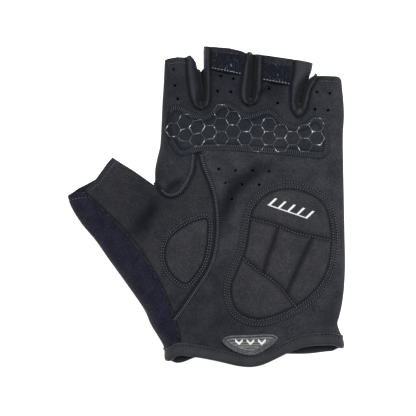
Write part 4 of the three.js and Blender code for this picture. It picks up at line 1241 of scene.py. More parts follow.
def cuff_ring(above):
    """Round the cuff's cloth at one height above its edge: over the palm side, then under the back."""
    share = (1 - np.cos(np.linspace(0, np.pi, CUFF_PLACES))) / 2
    sides = []
    for line in (spline(on_thumb(THUMB_OUTER_SIDE)), spline(on_palm(LITTLE_OUTER_SIDE))):
        wrists = [np.interp(line[-1][0], *wrist.T) for wrist in (FRONT_WRIST, BACK_WRIST)]
        level = sum(wrists) / 2 + above
        sides.append((np.interp(level, line[::-1, 1], line[::-1, 0]), level))
    (left, left_level), (right, right_level) = sides
    across = left + (right - left) * share
    turned = ease(np.minimum(across - left, right - across) / SIDE_ROLL)
    side_level = np.where(share < 0.5, left_level, right_level)
    halves = []
    for wrist, height_at in ((FRONT_WRIST, broad_height), (BACK_WRIST, back_base)):
        level = side_level + (np.interp(across, *wrist.T) + above - side_level) * turned
        points = np.column_stack([across, level])
        halves.append(np.column_stack([points, height_at(points)]))
    return np.vstack([halves[0], halves[1][::-1]])


def outward_of(ring):
    """The way out of the cloth at each point round the cuff."""
    around = np.roll(ring, -1, axis=0) - np.roll(ring, 1, axis=0)
    outward = np.column_stack([-around[:, 2], np.zeros(len(ring)), around[:, 0]])
    for _ in range(4):
        outward /= np.linalg.norm(outward, axis=1)[:, None]
        outward = (outward + np.roll(outward, 1, axis=0) + np.roll(outward, -1, axis=0)) / 3
    return outward / np.linalg.norm(outward, axis=1)[:, None]


CUFF_RINGS = np.array([cuff_ring(above) for above in CUFF_LEVELS])
CUFF_OUTWARD = np.array([outward_of(ring) for ring in CUFF_RINGS])


def at_cuff(above, out):
    """Points round the cuff at heights above its edge and distances out of the cloth."""
    place = np.clip(above - CUFF_LEVELS[0], 0, len(CUFF_LEVELS) - 1.001)
    low = place.astype(int)
    share = (place - low)[:, None]
    rows = np.arange(len(low))
    base = CUFF_RINGS[low, rows] * (1 - share) + CUFF_RINGS[low + 1, rows] * share
    return base + CUFF_OUTWARD[low, rows] * out[:, None]


def cuff_places():
    """How far round the cuff each place of the rings is."""
    ring = CUFF_RINGS[0]
    return np.concatenate([[0], np.cumsum(np.linalg.norm(np.diff(ring, axis=0), axis=1))])


# The folded cloth of the binding seen end on: (above the edge, out of the cloth, painted shade)
BINDING_FACE = [(0.7, 0.55, 0.3), (1.6, 0.75, 0.22), (2.9, 0.66, 0.22)]
BINDING_GROOVE = [(5.0, 0.3, 0.5), (5.35, 0.16, 0.95), (5.75, 0.42, 0.35), (6.3, 0.78, 0)]
BINDING_UNDER = [(6.0, 0.06, 0.9), (1.3, 0.05, 0.9), (1.15, -0.5, 0.9)]
BINDING_INSIDE = [
    (1.3, 0.15, 0.9), (5.2, 0.1, 0.9), (5.4, -0.3, 0.6), (5.2, -0.55, 0.6),
    (2.4, -0.7, 0.5), (0.9, -0.55, 0.5), (0.25, -0.1, 0.5),
]


def binding_section(place):
    """The binding's section at each place round the cuff, with its small waves."""
    wave = 0.35 * np.sin(place / 8.5) + 0.2 * np.sin(place / 3.7 + 1)
    swell = 0.12 * np.sin(place / 5.1 + 2) + 0.1 * np.sin(place / 1.9 + np.sin(place / 6))
    lip = BINDING_WIDTH + 0.3 * wave
    inner = -CLOTH_THICKNESS - SEAM_GAP
    still = np.zeros(len(place))
    foot = [(0.1 * wave, still - 0.45, 0.5), (still + 0.15, still + 0.15, 0.3)]
    face = [(still + above, out + swell, dark) for above, out, dark in BINDING_FACE]
    face.append((still + 4.2, 0.5 + 0.6 * swell, 0.25))
    groove = [(still + above, still + out, dark) for above, out, dark in BINDING_GROOVE]
    edge = [(lip - 0.25, still + 0.74, 0), (lip, still + 0.35, 0.5), (lip - 0.1, still + 0.08, 0.9)]
    under = [(still + above, still + out, dark) for above, out, dark in BINDING_UNDER]
    inside_fold = [(still + above, still + inner + out, dark) for above, out, dark in BINDING_INSIDE]
    return [*foot, *face, *groove, *edge, *under, *inside_fold, (0.1 * wave, still - 1.0, 0.5)]


def cuff_binding(material):
    sections = binding_section(cuff_places())
    placed = np.stack([at_cuff(above, out) for above, out, _ in sections], axis=1)
    placed[..., 2] = np.maximum(placed[..., 2], 0.0)
    count, sides = placed.shape[:2]
    # Painted shade round the folded binding: none on its top ridge, darkest in the groove, under the fold
    # and inside it
    shade = np.tile([darkness for _, _, darkness in sections], count)
    faces = [[a, d, c, b] for a, b, c, d in tube_faces(count, sides, closed=True)]
    vertices = placed.reshape(-1, 3)
    return mesh_object(
        "cuff_binding_cloth", vertices, faces, material, "cuff_binding", shade)


# Pull loops of heavy webbing
LOOP_ROWS = 40
LOOP_COLUMNS = 56
LOOP_EDGE = 0.5
LOOP_LIP = 0.5
WEBBING_RIB = 0.09
WEBBING_RIBS = (16, 9)
LOOP_THIN_EDGE = 0.45
LOOP_TUCK = 0.25


def loop_height(points, corners):
    across = points[:, 0]
    left, right = corners[:, 0].min(), corners[:, 0].max()
    arch = np.sin(np.pi * np.clip((across - left) / (right - left), 0, 1))
    return surface(points) + SEAM_GAP + LOOP_RISE * arch


def loop_faces():
    """The loop's top, its underside and the faces between them all round."""
    count = LOOP_ROWS * LOOP_COLUMNS
    faces = []
    for row in range(LOOP_ROWS - 1):
        for column in range(LOOP_COLUMNS - 1):
            a = row * LOOP_COLUMNS + column
            b, c, d = a + 1, a + 1 + LOOP_COLUMNS, a + LOOP_COLUMNS
            faces.append([a, d, c, b])
            faces.append([a + count, b + count, c + count, d + count])
    grid = np.arange(count).reshape(LOOP_ROWS, LOOP_COLUMNS)
    rim = [*grid[0], *grid[1:, -1], *grid[-1, -2::-1], *grid[-2:0:-1, 0]]
    for start, end in zip(rim, rim[1:] + rim[:1]):
        faces.append([start, end, end + count, start + count])
    return [[int(corner) for corner in face] for face in faces]


def pull_loop(name, material):
    corners = on_finger(LOOP_PLANS[name])
    top_left, top_right, low_right, low_left = corners
    u, v = np.meshgrid(np.linspace(0, 1, LOOP_COLUMNS), np.linspace(0, 1, LOOP_ROWS))
    across, down = u.ravel(), v.ravel()
    u, v = across[:, None], down[:, None]
    points = (top_left * (1 - u) + top_right * u) * (1 - v) + (low_left * (1 - u) + low_right * u) * v
    edge = rounded(np.minimum(down, 1 - down) * abs(top_left[1] - low_left[1]), LOOP_EDGE)
    base = loop_height(points, corners) + LOOP_LIP * np.exp(-((1 - down) * 9) ** 2)
    ribs_across, ribs_down = WEBBING_RIBS
    ribs = WEBBING_RIB * np.sin(across * 2 * np.pi * ribs_across) * np.sin(down * 2 * np.pi * ribs_down)
    top = base + LOOP_THICKNESS * (LOOP_THIN_EDGE + (1 - LOOP_THIN_EDGE) * edge) + ribs
    bottom = base + LOOP_THICKNESS * LOOP_TUCK * (1 - edge)
    vertices = np.vstack([np.column_stack([points, top]), np.column_stack([points, bottom])])
    return mesh_object(f"{name}_webbing", vertices, loop_faces(), material, name)


# The grip print: soft raised lines round six-sided cells
PRINT_WIDTH = 0.55
PRINT_MARGIN = 0.2
PRINT_HEIGHT = 0.4
PRINT_SINK = 0.12
PRINT_STEP = 0.35
PRINT_SEED = 5
PRINT_NARROWEST = 0.85
PRINT_SPREAD = 0.25
SAME_CORNER = 1.5
DOME = [(math.sin(turn), math.cos(turn)) for turn in (0.55, 1.1, 1.57)]
DOME_SIDES = 8


def cell_corners(centre):
    wide, tall = CELL_WIDTH * 2 / 3, CELL_HEIGHT / 2
    shares = np.array([(-1, 0), (-0.5, -1), (0.5, -1), (1, 0), (0.5, 1), (-0.5, 1)])
    return np.array(centre) + shares * (wide, tall)


def cell_centres():
    start = on_palm([CELL_START])[0]
    found = []
    for index, (lowest, cells) in enumerate(CELL_COLUMNS):
        half = -CELL_HEIGHT / 2 if index % 2 else 0
        bent = max(0, 1 - index / BENT_COLUMNS)
        for row in range(cells):
            y = start[1] + half + (lowest + row) * CELL_HEIGHT - COLUMN_DROP * bent * bent
            found.append((start[0] + index * CELL_WIDTH, y))
    return found


def print_plan():
    """The corners of the cells, each once, and the pairs of them that lines join."""
    corners, edges = [], set()
    for centre in cell_centres():
        ring = []
        for corner in cell_corners(centre):
            near = [index for index, known in enumerate(corners) if math.dist(known, corner) < SAME_CORNER]
            if not near:
                near = [len(corners)]
                corners.append(corner)
            ring.append(near[0])
        edges |= {tuple(sorted(pair)) for pair in zip(ring, ring[1:] + ring[:1])}
    return np.array(corners), sorted(edges)


def print_line(start, end, random):
    """One raised line, a little uneven in width."""
    line = resampled([start, end], PRINT_STEP)
    half = PRINT_WIDTH / 2 * (PRINT_NARROWEST + PRINT_SPREAD * random.random(len(line)))
    half[[0, -1]] = PRINT_WIDTH / 2
    turns = np.linspace(0, np.pi, 7)
    up = np.sin(turns) * PRINT_HEIGHT - PRINT_SINK
    section = np.array([np.column_stack([-np.cos(turns) * wide, up]) for wide in half])
    return swept(np.column_stack([line, knuckle_surface(line)]), section)


def print_dome(corner):
    """The round meeting of the lines at one corner."""
    height = knuckle_surface(np.array([corner]))[0]
    rings = []
    for reach, up in DOME:
        around = circle(corner, reach * PRINT_WIDTH / 2, DOME_SIDES)
        level = np.full(DOME_SIDES, height + up * PRINT_HEIGHT - PRINT_SINK)
        rings.append(np.column_stack([around, level]))
    faces = []
    for side in range(DOME_SIDES):
        beside = (side + 1) % DOME_SIDES
        faces.append([0, 1 + side, 1 + beside])
        for first in (1, 1 + DOME_SIDES):
            after = first + DOME_SIDES
            faces.append([first + side, after + side, after + beside, first + beside])
    return np.vstack([[[*corner, height + PRINT_HEIGHT - PRINT_SINK]], *rings]), faces


def grip_print(material):
    random = np.random.default_rng(PRINT_SEED)
    corners, edges = print_plan()
    printed = from_side(corners, ring_of(KNUCKLE_PAD_EDGE)) > PRINT_MARGIN
    shown = [(start, end) for start, end in edges if printed[start] and printed[end]]
    parts = [print_line(corners[start], corners[end], random) for start, end in shown]
    parts += [print_dome(corner) for corner in corners[printed]]
    vertices, faces = joined(parts)
    return mesh_object("grip_print_lines", vertices, faces, material, "grip_print")


# The moulded tab and its raised chevrons
TAB_LIFT = 0.35
TAB_FACE = 0.5
TAB_RIM_HEIGHT = 0.9
TAB_INNER_RIM = 0.45
TAB_INNER_RIM_IN = 2.6
TAB_INNER_RIM_WIDTH = 0.32
TAB_RIB = 0.24
TAB_RIB_PITCH = 1.15
TAB_RIBS_IN = 3.0
TAB_OUTLINE_STEP = 0.6
TAB_STEP = 0.45
TAB_RAILS = (0.12, 0.3, 0.6, 0.95, 1.2, 1.45, 1.8, 2.2)
CHEVRON_SINK = 0.3
CHEVRON_OUTLINE_STEP = 0.3
CHEVRON_STEP = 0.35
CHEVRON_RAILS = (0.08, 0.2, 0.35)
CHEVRON_FOOT = 0.35


def tab_ground(points):
    return surface(points) + BINDING_STEP + TAB_LIFT


def pull_tab(material):
    ring = ring_of(TAB_EDGE, TAB_OUTLINE_STEP)
    points, triangles = pad_net(ring, step=TAB_STEP, rails=TAB_RAILS)
    away = nearest_on(points, ring, closed=True)[0]
    rim = TAB_RIM_HEIGHT * rounded(away, 0.45) * ease((TAB_RIM_WIDTH + 0.25 - away) / 0.4)
    inner_rim = TAB_INNER_RIM * hump(away - TAB_INNER_RIM_IN, TAB_INNER_RIM_WIDTH)
    ridged = np.clip(np.sin(2 * np.pi * points[:, 1] / TAB_RIB_PITCH), 0, 1)
    ribs = TAB_RIB * ridged * ease((away - TAB_RIBS_IN) / 0.3)
    body = (TAB_THICKNESS - 2 * TAB_FACE) * rounded(away, 0.5)
    top = tab_ground(points) + TAB_FACE + body + rim + inner_rim + ribs
    vertices, faces = closed_over(points, triangles, top, tab_ground(points))
    return mesh_object("pull_tab_body", vertices, faces, material, "pull_tab")


def tab_chevrons(material):
    middle = on_palm([CHEVRON_CENTRE])[0]
    half = CHEVRON_SIZE / 2
    parts = []
    for index in range(CHEVRON_COUNT):
        x = middle[0] + (index - (CHEVRON_COUNT - 1) / 2) * CHEVRON_PITCH
        y = middle[1]
        arm = np.array([(x - half, y + half / 2), (x, y - half / 2), (x + half, y + half / 2)])
        ring = anticlockwise(np.vstack([arm, (arm + (0, CHEVRON_BAR))[::-1]]))
        ring = resampled(ring, CHEVRON_OUTLINE_STEP, closed=True)
        points, triangles = pad_net(ring, step=CHEVRON_STEP, rails=CHEVRON_RAILS)
        away = nearest_on(points, ring, closed=True)[0]
        base = tab_ground(points) + TAB_THICKNESS - TAB_FACE
        top = base + TAB_RELIEF * (CHEVRON_FOOT + (1 - CHEVRON_FOOT) * rounded(away, 0.3))
        parts.append(closed_over(points, triangles, top, base - CHEVRON_SINK))
    vertices, faces = joined(parts)
    return mesh_object("pull_tab_chevrons", vertices, faces, material)


# The reflective mark: slanted bars over one rail
MARK_LIFT = 0.08
MARK_ROUND = 0.22
MARK_SINK = 0.05
MARK_OUTLINE_STEP = 0.4
MARK_STEP = 0.5
MARK_RAILS = (0.1, 0.22)


def mark_block(x, y, wide, tall, slant):
    """A slanted bar round (x, y) on the mark's own tilted axes."""
    along = np.array([math.cos(MARK_TILT), math.sin(MARK_TILT)])
    up = np.array([-along[1], along[0]])
    half, rise = wide / 2, tall / 2
    rows = [
        (x - half - slant, y - rise), (x + half - slant, y - rise),
        (x + half + slant, y + rise), (x - half + slant, y + rise),
    ]
    middle = on_palm([MARK_CENTRE])[0]
    return np.array([middle + along * row[0] + up * row[1] for row in rows])


def reflective_mark(material):
    slant = MARK_BAR_WIDTH
    rail = MARK_BAR_WIDTH / 2
    outlines = [mark_block(-slant, (rail - MARK_HEIGHT) / 2, MARK_LENGTH, rail, 0)]
    for index in range(MARK_BARS):
        x = (index / (MARK_BARS - 1) - 0.5) * (MARK_LENGTH - MARK_BAR_WIDTH)
        outlines.append(mark_block(x, 0, MARK_BAR_WIDTH, MARK_HEIGHT, slant))
    parts = []
    for outline in outlines:
        ring = resampled(anticlockwise(outline), MARK_OUTLINE_STEP, closed=True)
        points, triangles = pad_net(ring, step=MARK_STEP, rails=MARK_RAILS)
        away = nearest_on(points, ring, closed=True)[0]
        base = heel_height(points)
        top = base + MARK_LIFT + MARK_ROUND * rounded(away, 0.2)
        parts.append(closed_over(points, triangles, top, base - MARK_SINK))
    vertices, faces = joined(parts)
    return mesh_object(
        "reflective_mark_bars", vertices, faces, material, "reflective_mark")


# Stitching. The rows run this far outside each pad's body
THREAD = 0.25
PANEL_THREAD = 0.2
KNUCKLE_THREAD = 0.19
LOOP_THREAD = 0.16
THUMB_PAD_ROWS = (0.7, 2.0)
HEEL_PAD_ROWS = (1.1, 3.4)
STITCHED_CHANNELS = 2
SHORTEST_ROW = 4

# Rows of stitches: (pitch, stitch length, turn in radians)
SEAM_ROW = (1.0, 1.7, 1.15)
HEM_ROW = (1.5, 0.95, 0)
PAD_ROW = (1.45, 0.85, 0.5)
CHANNEL_ROW = (1.6, 1.0, 0)
BORDER_ROW = (1.05, 3.1, 1.5)
LOWER_ROWS = {-0.9: (1.1, 1.2, 0.9), 1.3: (1.1, 1.2, -0.9)}
LOOP_ROW = (1.6, 1.1, 0)
LOOP_ROW_IN = (0.6, 0.9)
BINDING_ROW_UP = 5.3
BINDING_ROW_OUT = 0.24
BINDING_ROW_PITCH = 1.9
BINDING_STITCH = 1.25
KNUCKLE_LOWER_ROW = [
    (-0.33, 0.83), (-0.271, 0.838), (-0.125, 0.84), (0.02, 0.832), (0.165, 0.824), (0.31, 0.814),
    (0.37, 0.812),
]


def stitch_piece(name, rows, material, radius=THREAD, rise=0.1):
    """One piece of many stitches. Each row is (starts, ends, height function)."""
    parts = [stitches(starts, ends, height_at, radius, rise) for starts, ends, height_at in rows]
    vertices, faces = joined(parts)
    return mesh_object(name, vertices, faces, material)


def on_panel(line):
    """The part of a line that lies on the cloth, away from the openings."""
    return line[inside(line, PLAN) & ~inside_any(line, [past_tips(), past_thumb(THUMB_FRONT_OPENING)])]


def panel_stitching(material):
    """Rows beside the seams, on the hems and round the thumb's opening."""
    rows = []
    apex = on_palm(THUMB_SEAM)[THUMB_SEAM_APEX]
    split = int(np.argmin(np.hypot(*(SEAM_OF_THUMB - apex).T)))
    flap = on_panel(shifted(SEAM_OF_THUMB[:split - 2], ROW_OUT))
    flap = flap[flap[:, 0] > -PALM_WIDTH / 2]
    curve = on_panel(shifted(SEAM_OF_THUMB[split + 3:], ROW_OUT))
    for line in (flap, curve):
        rows.append((*stitch_row(line, SEAM_ROW), front_height))
    tip = on_finger(TIP_LINE)
    thumb_hems = [on_thumb(THUMB_FRONT_OPENING[part]) for part in (slice(1, 5), slice(6, 9))]
    for hem in (tip[INDEX_HEM], tip[LITTLE_HEM], *thumb_hems):
        for side in (-1, 1):
            line = on_panel(shifted(resampled(hem, 1.0), side * (HEM_WIDTH - HEM_GROOVE_IN)))
            if len(line) > SHORTEST_ROW:
                rows.append((*stitch_row(line, HEM_ROW), front_height))
    return stitch_piece("panel_stitching", rows, material, PANEL_THREAD)


def pad_stitching(material):
    """Two rows round each crowned pad and one along each sewn channel."""
    rows = []
    thumb_body, heel_body = ring_of(THUMB_PAD_EDGE), ring_of(HEEL_PAD_EDGE)
    for body, places, height_at in (
        (thumb_body, THUMB_PAD_ROWS, thumb_pad_height),
        (heel_body, HEEL_PAD_ROWS, heel_height),
    ):
        for away in places:
            line = resampled(shifted(body, -away, closed=True), 0.8, closed=True)
            rows.append((*stitch_row(line, PAD_ROW, closed=True), height_at))
    for line in heel_channels()[:STITCHED_CHANNELS]:
        rows.append((*stitch_row(line[inside(line, heel_body)], CHANNEL_ROW), heel_height))
    return stitch_piece("pad_stitching", rows, material)


def knuckle_stitching(material):
    """A wide zigzag border round the knuckle pad and two rows along its lower edge."""
    ring = ring_of(KNUCKLE_PAD_EDGE, 0.5)
    border = resampled(shifted(ring, BORDER_MIDDLE, closed=True), 0.5, closed=True)
    rows = [(*stitch_row(border, BORDER_ROW, closed=True), knuckle_surface)]
    lower = spline(on_palm(KNUCKLE_LOWER_ROW))
    for away, row in LOWER_ROWS.items():
        rows.append((*stitch_row(shifted(lower, away), row), knuckle_surface))
    return stitch_piece("knuckle_stitching", rows, material, KNUCKLE_THREAD, rise=0.08)


def binding_stitching(material):
    """A row in the binding's groove, over the palm side alone."""
    count = len(CUFF_RINGS[0])
    line = at_cuff(np.full(count, BINDING_ROW_UP), np.full(count, BINDING_ROW_OUT))
    dense = resampled(line, BINDING_ROW_PITCH, closed=True)
    along = np.roll(dense, -1, axis=0) - dense
    along /= np.linalg.norm(along, axis=1)[:, None]
    sections = circle((0, 0), THREAD, STITCH_SIDES)[None] * STITCH_SWELL[:, None, None]
    parts = []
    for place, way in zip(dense, along):
        if place[2] >= EQUATOR:
            stitch = place + way * (STITCH_SHARES[:, None] - 0.5) * BINDING_STITCH
            stitch[:, 2] += STITCH_ARCH * THREAD * 0.7 + 0.05
            parts.append(swept(stitch, sections))
    vertices, faces = joined(parts)
    return mesh_object("binding_stitching", vertices, faces, material)


def loop_stitching(material):
    """A light row along each loop's lower edge."""
    rows = []
    inwards, upwards = LOOP_ROW_IN
    for plan in LOOP_PLANS.values():
        corners = on_finger(plan)
        low = np.array([corners[3] + (inwards, upwards), corners[2] + (-inwards, upwards)])

        def top(points, corners=corners):
            return loop_height(points, corners) + LOOP_THICKNESS + 0.3

        rows.append((*stitch_row(low, LOOP_ROW), top))
    return stitch_piece("loop_stitching", rows, material, LOOP_THREAD, rise=0.05)


# Materials: each returns a finished procedural material
def shader_of(name):
    """A new material, its nodes and the place on the object that they read."""
    made = bpy.data.materials.new(name)
    made.use_nodes = True
    tree = made.node_tree
    return made, tree, tree.nodes.new("ShaderNodeTexCoord").outputs["Object"]


def linear(red, green, blue):
    """A colour from its 0 to 255 screen values."""
    def curve(value):
        share = value / 255
        return share / 12.92 if share <= 0.04045 else ((share + 0.055) / 1.055) ** 2.4
    return (curve(red), curve(green), curve(blue), 1)


def noise_of(tree, place, size_mm, detail=2.0, roughness=0.5, stretch=None):
    node = tree.nodes.new("ShaderNodeTexNoise")
    node.inputs["Scale"].default_value = 1 / (size_mm * METRES)
    node.inputs["Detail"].default_value = detail
    node.inputs["Roughness"].default_value = roughness
    if stretch:
        mapping = tree.nodes.new("ShaderNodeMapping")
        mapping.inputs["Scale"].default_value = stretch
        tree.links.new(place, mapping.inputs["Vector"])
        place = mapping.outputs["Vector"]
    tree.links.new(place, node.inputs["Vector"])
    return node.outputs["Fac"]


def cells_of(tree, place, size_mm):
    node = tree.nodes.new("ShaderNodeTexVoronoi")
    node.inputs["Scale"].default_value = 1 / (size_mm * METRES)
    tree.links.new(place, node.inputs["Vector"])
    return node.outputs["Distance"]


def ribs_of(tree, place, pitch_mm, axis="X", wobble=0.0):
    node = tree.nodes.new("ShaderNodeTexWave")
    node.bands_direction = axis
    node.inputs["Scale"].default_value = math.pi / 10 / (pitch_mm * METRES)
    node.inputs["Distortion"].default_value = wobble
    node.inputs["Detail Scale"].default_value = 2
    tree.links.new(place, node.inputs["Vector"])
    return node.outputs["Fac"]


def ramp_of(tree, value, stops):
    node = tree.nodes.new("ShaderNodeValToRGB")
    ramp = node.color_ramp
    while len(ramp.elements) < len(stops):
        ramp.elements.new(0.5)
    for element, (place, colour) in zip(ramp.elements, stops):
        element.position = place
        element.color = colour
    tree.links.new(value, node.inputs["Fac"])
    return node.outputs["Color"]


def mixed(tree, first, second, factor, blend="MIX"):
    node = tree.nodes.new("ShaderNodeMix")
    node.data_type = "RGBA"
    node.blend_type = blend
    sockets = (node.inputs["Factor"], node.inputs[6], node.inputs[7])
    for value, socket in zip((factor, first, second), sockets):
        if isinstance(value, (float, tuple)):
            socket.default_value = value
        else:
            tree.links.new(value, socket)
    return node.outputs[2]


def bumped(tree, height, depth_mm, normal=None):
    node = tree.nodes.new("ShaderNodeBump")
    node.inputs["Distance"].default_value = depth_mm * METRES
    tree.links.new(height, node.inputs["Height"])
    if normal is not None:
        tree.links.new(normal, node.inputs["Normal"])
    return node.outputs["Normal"]


# Near-black navy of the painted shade in seams, folds and slits
PAINTED_SHADE_COLOUR = (0.0035, 0.0042, 0.009, 1)
BLACK = (0, 0, 0, 1)
WHITE = (1, 1, 1, 1)


def grey(value):
    return (value, value, value, 1)


def shaded(tree, colour):
    """Painted shade: the colour darkened towards a near-black navy in seams, folds and other shaded
    places.
    """
    painted_shade = tree.nodes.new("ShaderNodeAttribute")
    painted_shade.attribute_name = "painted_shade"
    return mixed(tree, colour, PAINTED_SHADE_COLOUR, painted_shade.outputs["Fac"])


def finish_surface(made, colour, normal, roughness, specular=0.5, sheen=0.0):
    """Connects the colour and the relief, and sets the values that are the same all over."""
    tree = made.node_tree
    principled = tree.nodes["Principled BSDF"]
    tree.links.new(colour, principled.inputs["Base Color"])
    tree.links.new(normal, principled.inputs["Normal"])
    principled.inputs["Roughness"].default_value = roughness
    principled.inputs["Specular IOR Level"].default_value = specular
    principled.inputs["Sheen Weight"].default_value = sheen
    return made


def suede(name, dark, light, speck):
    """Short nap in soft patches, with single light fibres."""
    made, tree, place = shader_of(name)
    nap = noise_of(tree, place, 0.7, 4, 0.7)
    colour = ramp_of(tree, noise_of(tree, place, 9, 3, 0.6), [(0.32, dark), (0.68, light)])
    grains = ramp_of(tree, nap, [(0.38, grey(0.6)), (0.62, grey(1.4))])
    colour = mixed(tree, colour, grains, 0.9, "MULTIPLY")
    fibres = ramp_of(tree, noise_of(tree, place, 0.45, 1), [(0.7, BLACK), (0.78, WHITE)])
    colour = mixed(tree, colour, speck, fibres)
    relief = bumped(tree, noise_of(tree, place, 2.6, 2), 0.25, bumped(tree, nap, 0.12))
    return finish_surface(made, shaded(tree, colour), relief, 0.95, 0.1, 0.05)


def terry(name, dark, light, speck):
    """Small round loops of yarn in soft patches."""
    made, tree, place = shader_of(name)
    loops = cells_of(tree, place, 0.75)
    colour = ramp_of(tree, noise_of(tree, place, 6, 3), [(0.35, dark), (0.65, light)])
    grains = ramp_of(tree, loops, [(0, grey(1.35)), (0.6, grey(0.6))])
    colour = mixed(tree, colour, grains, 0.9, "MULTIPLY")
    fibres = ramp_of(tree, noise_of(tree, place, 0.5, 1), [(0.68, BLACK), (0.76, WHITE)])
    colour = mixed(tree, colour, speck, fibres)
    return finish_surface(made, shaded(tree, colour), bumped(tree, loops, -0.35), 1, 0.1, 0.1)


def stretch_cloth(name, dark, light, roughness=0.6, rib=0.5):
    """Fine ribs of knitted cloth, crossed by weaker ones."""
    made, tree, place = shader_of(name)
    ribs = ribs_of(tree, place, rib, "X", 0.6)
    across = ribs_of(tree, place, rib * 1.3, "Y", 0.6)
    colour = ramp_of(tree, noise_of(tree, place, 7, 3), [(0.35, dark), (0.65, light)])
    colour = mixed(tree, colour, ramp_of(tree, ribs, [(0, grey(0.8)), (1, grey(1.15))]), 0.8, "MULTIPLY")
    relief = bumped(tree, across, 0.04, bumped(tree, ribs, 0.06))
    return finish_surface(made, shaded(tree, colour), relief, roughness, 0.3, 0.04)


def webbing(name):
    """Coarse woven tape with light flecks, and painted glints: a few bright specks in patches stand in for
    highlights.
    """
    made, tree, place = shader_of(name)
    over = ribs_of(tree, place, 1.1, "X", 5)
    under = ribs_of(tree, place, 0.9, "Y", 5)
    grain = noise_of(tree, place, 0.8, 2, 0.6, (1, 0.4, 1))
    colour = ramp_of(tree, over, [(0.1, linear(10, 13, 22)), (0.9, linear(27, 31, 44))])
    flecks = ramp_of(tree, grain, [(0.56, BLACK), (0.7, grey(0.8))])
    colour = mixed(tree, colour, linear(52, 58, 76), flecks)
    # Patches where the painted glints show
    patches = ramp_of(tree, noise_of(tree, place, 4, 1), [(0.54, BLACK), (0.62, WHITE)])
    painted_glints = ramp_of(tree, grain, [(0.66, BLACK), (0.72, WHITE)])
    colour = mixed(tree, colour, linear(170, 176, 188), mixed(tree, painted_glints, patches, 1.0, "MULTIPLY"))
    return finish_surface(made, colour, bumped(tree, under, 0.3, bumped(tree, over, 0.3)), 0.6, 0.2)


def silicone(name):
    """A print with lines near white in some patches and dark grey in others, by a noise."""
    made, tree, place = shader_of(name)
    colour = ramp_of(tree, noise_of(tree, place, 3.2, 4, 0.72), [
        (0.45, linear(38, 41, 47)), (0.53, linear(60, 63, 69)),
        (0.59, linear(128, 131, 135)), (0.66, linear(236, 237, 237)),
    ])
    return finish_surface(made, colour, bumped(tree, noise_of(tree, place, 0.6, 2), 0.08), 0.4)


def rubber(name):
    """Moulded rubber with a fine grain."""
    made, tree, place = shader_of(name)
    patches = noise_of(tree, place, 3, 3)
    colour = ramp_of(tree, patches, [(0.3, linear(46, 47, 52)), (0.7, linear(74, 75, 80))])
    return finish_surface(made, colour, bumped(tree, noise_of(tree, place, 0.4, 3), 0.05), 0.42)


def enamel(name, dark, light, roughness):
    """A pale film with a fine grain, a little darker where it is worn."""
    made, tree, place = shader_of(name)
    colour = ramp_of(tree, noise_of(tree, place, 1.2, 4, 0.7), [(0.3, dark), (0.6, light)])
    return finish_surface(made, colour, bumped(tree, cells_of(tree, place, 0.18), 0.03), roughness)


def thread(name, dark, light):
    """Twisted thread with light and dark fibres."""
    made, tree, place = shader_of(name)
    fibres = noise_of(tree, place, 0.3, 3, 0.7)
    colour = ramp_of(tree, fibres, [(0.3, dark), (0.7, light)])
    return finish_surface(made, colour, bumped(tree, fibres, 0.06), 0.55, sheen=0.15)


# Stage, light and camera
WORLD_LIGHT = 0.36
KEY_PLACE = (0.14, 0.34, 1.5)
KEY_SIZE = 0.5
KEY_WATTS = 21
FLOOR_GLOW = 0.9
FLOOR_HALF = 3.0
FLOOR_BELOW = 0.0002
CAMERA_HEIGHT = 1.2
VIEW_WIDTH = 0.2205
VIEW_LEVEL = 0.01
VIEW_CENTRE = (0.0009, -0.0009)


def floor():
    """A wide pale floor just under the glove."""
    made, tree, place = shader_of("studio floor")
    tint = ramp_of(tree, noise_of(tree, place, 60, 2), [(0, grey(0.86)), (1, grey(0.88))])
    principled = tree.nodes["Principled BSDF"]
    tree.links.new(tint, principled.inputs["Base Color"])
    principled.inputs["Roughness"].default_value = 0.9
    principled.inputs["Specular IOR Level"].default_value = 0.1
    principled.inputs["Emission Color"].default_value = WHITE
    principled.inputs["Emission Strength"].default_value = FLOOR_GLOW
    mesh = bpy.data.meshes.new("studio_floor")
    corners = [(x * FLOOR_HALF, y * FLOOR_HALF, 0) for x, y in ((-1, -1), (1, -1), (1, 1), (-1, 1))]
    mesh.from_pydata(corners, [], [(0, 1, 2, 3)])
    mesh.materials.append(made)
    plane = bpy.data.objects.new("studio_floor", mesh)
    plane.location.z = -FLOOR_BELOW
    bpy.context.scene.collection.objects.link(plane)


def area_light(name, place, size, watts):
    data = bpy.data.lights.new(name, "AREA")
    data.size = size
    data.energy = watts
    light = bpy.data.objects.new(name, data)
    light.location = place
    light.rotation_mode = "QUATERNION"
    light.rotation_quaternion = (-Vector(place)).to_track_quat("-Z", "Y")
    bpy.context.scene.collection.objects.link(light)


def studio():
    floor()
    world = bpy.data.worlds.new("studio")
    world.use_nodes = True
    background = world.node_tree.nodes["Background"]
    background.inputs["Color"].default_value = WHITE
    background.inputs["Strength"].default_value = WORLD_LIGHT
    bpy.context.scene.world = world
    area_light("key", KEY_PLACE, KEY_SIZE, KEY_WATTS)
    bpy.context.scene.view_settings.view_transform = "Standard"


def camera():
    """Straight above the glove, with the photograph's frame."""
    data = bpy.data.cameras.new("camera")
    data.lens = data.sensor_width * (CAMERA_HEIGHT - VIEW_LEVEL) / VIEW_WIDTH
    data.clip_start = 0.05
    made = bpy.data.objects.new("camera", data)
    made.location = (*VIEW_CENTRE, CAMERA_HEIGHT)
    bpy.context.scene.collection.objects.link(made)
    bpy.context.scene.camera = made


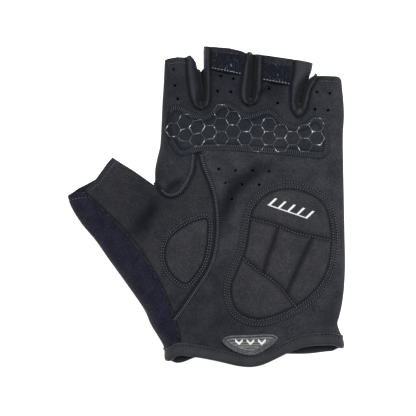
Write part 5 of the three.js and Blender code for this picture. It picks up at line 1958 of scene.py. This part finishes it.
def glove():
    palm = suede("palm suede", linear(40, 42, 48), linear(55, 56, 62), linear(84, 86, 92))
    thumb = suede("thumb suede", linear(39, 40, 45), linear(50, 50, 54), linear(84, 84, 88))
    pad = suede("pad suede", linear(45, 46, 50), linear(56, 56, 60), linear(90, 90, 94))
    knuckle = suede("knuckle cloth", linear(36, 39, 45), linear(45, 47, 53), linear(66, 70, 78))
    strip = terry("terry", linear(31, 30, 46), linear(41, 40, 56), linear(70, 70, 88))
    lycra = stretch_cloth("stretch cloth", linear(34, 36, 42), linear(48, 51, 58))
    back = stretch_cloth("back cloth", linear(30, 32, 42), linear(40, 42, 52), 0.75, 0.9)
    bound = stretch_cloth("binding cloth", linear(38, 39, 44), linear(50, 51, 56), 0.7, 0.6)
    band = webbing("webbing")
    dark_thread = thread("dark thread", linear(58, 61, 70), linear(96, 100, 111))
    dim_thread = thread("dim thread", linear(38, 41, 49), linear(60, 64, 74))
    light_thread = thread("light thread", linear(110, 114, 122), linear(190, 194, 200))
    cloth_pieces({
        "palm_panel": (palm, "palm_suede"),
        "thumb_panel": (thumb, "palm_suede"),
        "thumb_side_panel": (strip, "terry"),
        "back_panel": (back, "stretch_cloth"),
        "index_middle_fourchette": (lycra, "stretch_cloth"),
        "middle_ring_fourchette": (lycra, "stretch_cloth"),
        "ring_little_fourchette": (lycra, "stretch_cloth"),
    })
    knuckle_pad(knuckle)
    grip_print(silicone("silicone"))
    thumb_cover = crowned_pad(
        "thumb_pad", THUMB_PAD_EDGE, THUMB_PAD_HEIGHT, THUMB_FLANGE, [], THUMB_PAD_ROWS, pad)
    heel_cover = crowned_pad(
        "heel_pad", HEEL_PAD_EDGE, HEEL_PAD_HEIGHT, HEEL_FLANGE, heel_channels(), HEEL_PAD_ROWS, pad)
    cuff_binding(bound)
    for name in LOOP_PLANS:
        pull_loop(name, band)
    pull_tab(rubber("tab rubber"))
    cream = enamel("cream enamel", linear(190, 188, 178), linear(238, 235, 222), 0.5)
    tab_chevrons(cream)
    reflective_mark(enamel("reflective film", linear(205, 206, 206), linear(236, 237, 236), 0.35))
    panel_stitching(dark_thread)
    pad_stitching(dark_thread)
    knuckle_stitching(dim_thread)
    binding_stitching(dim_thread)
    loop_stitching(light_thread)


glove()
studio()
camera()
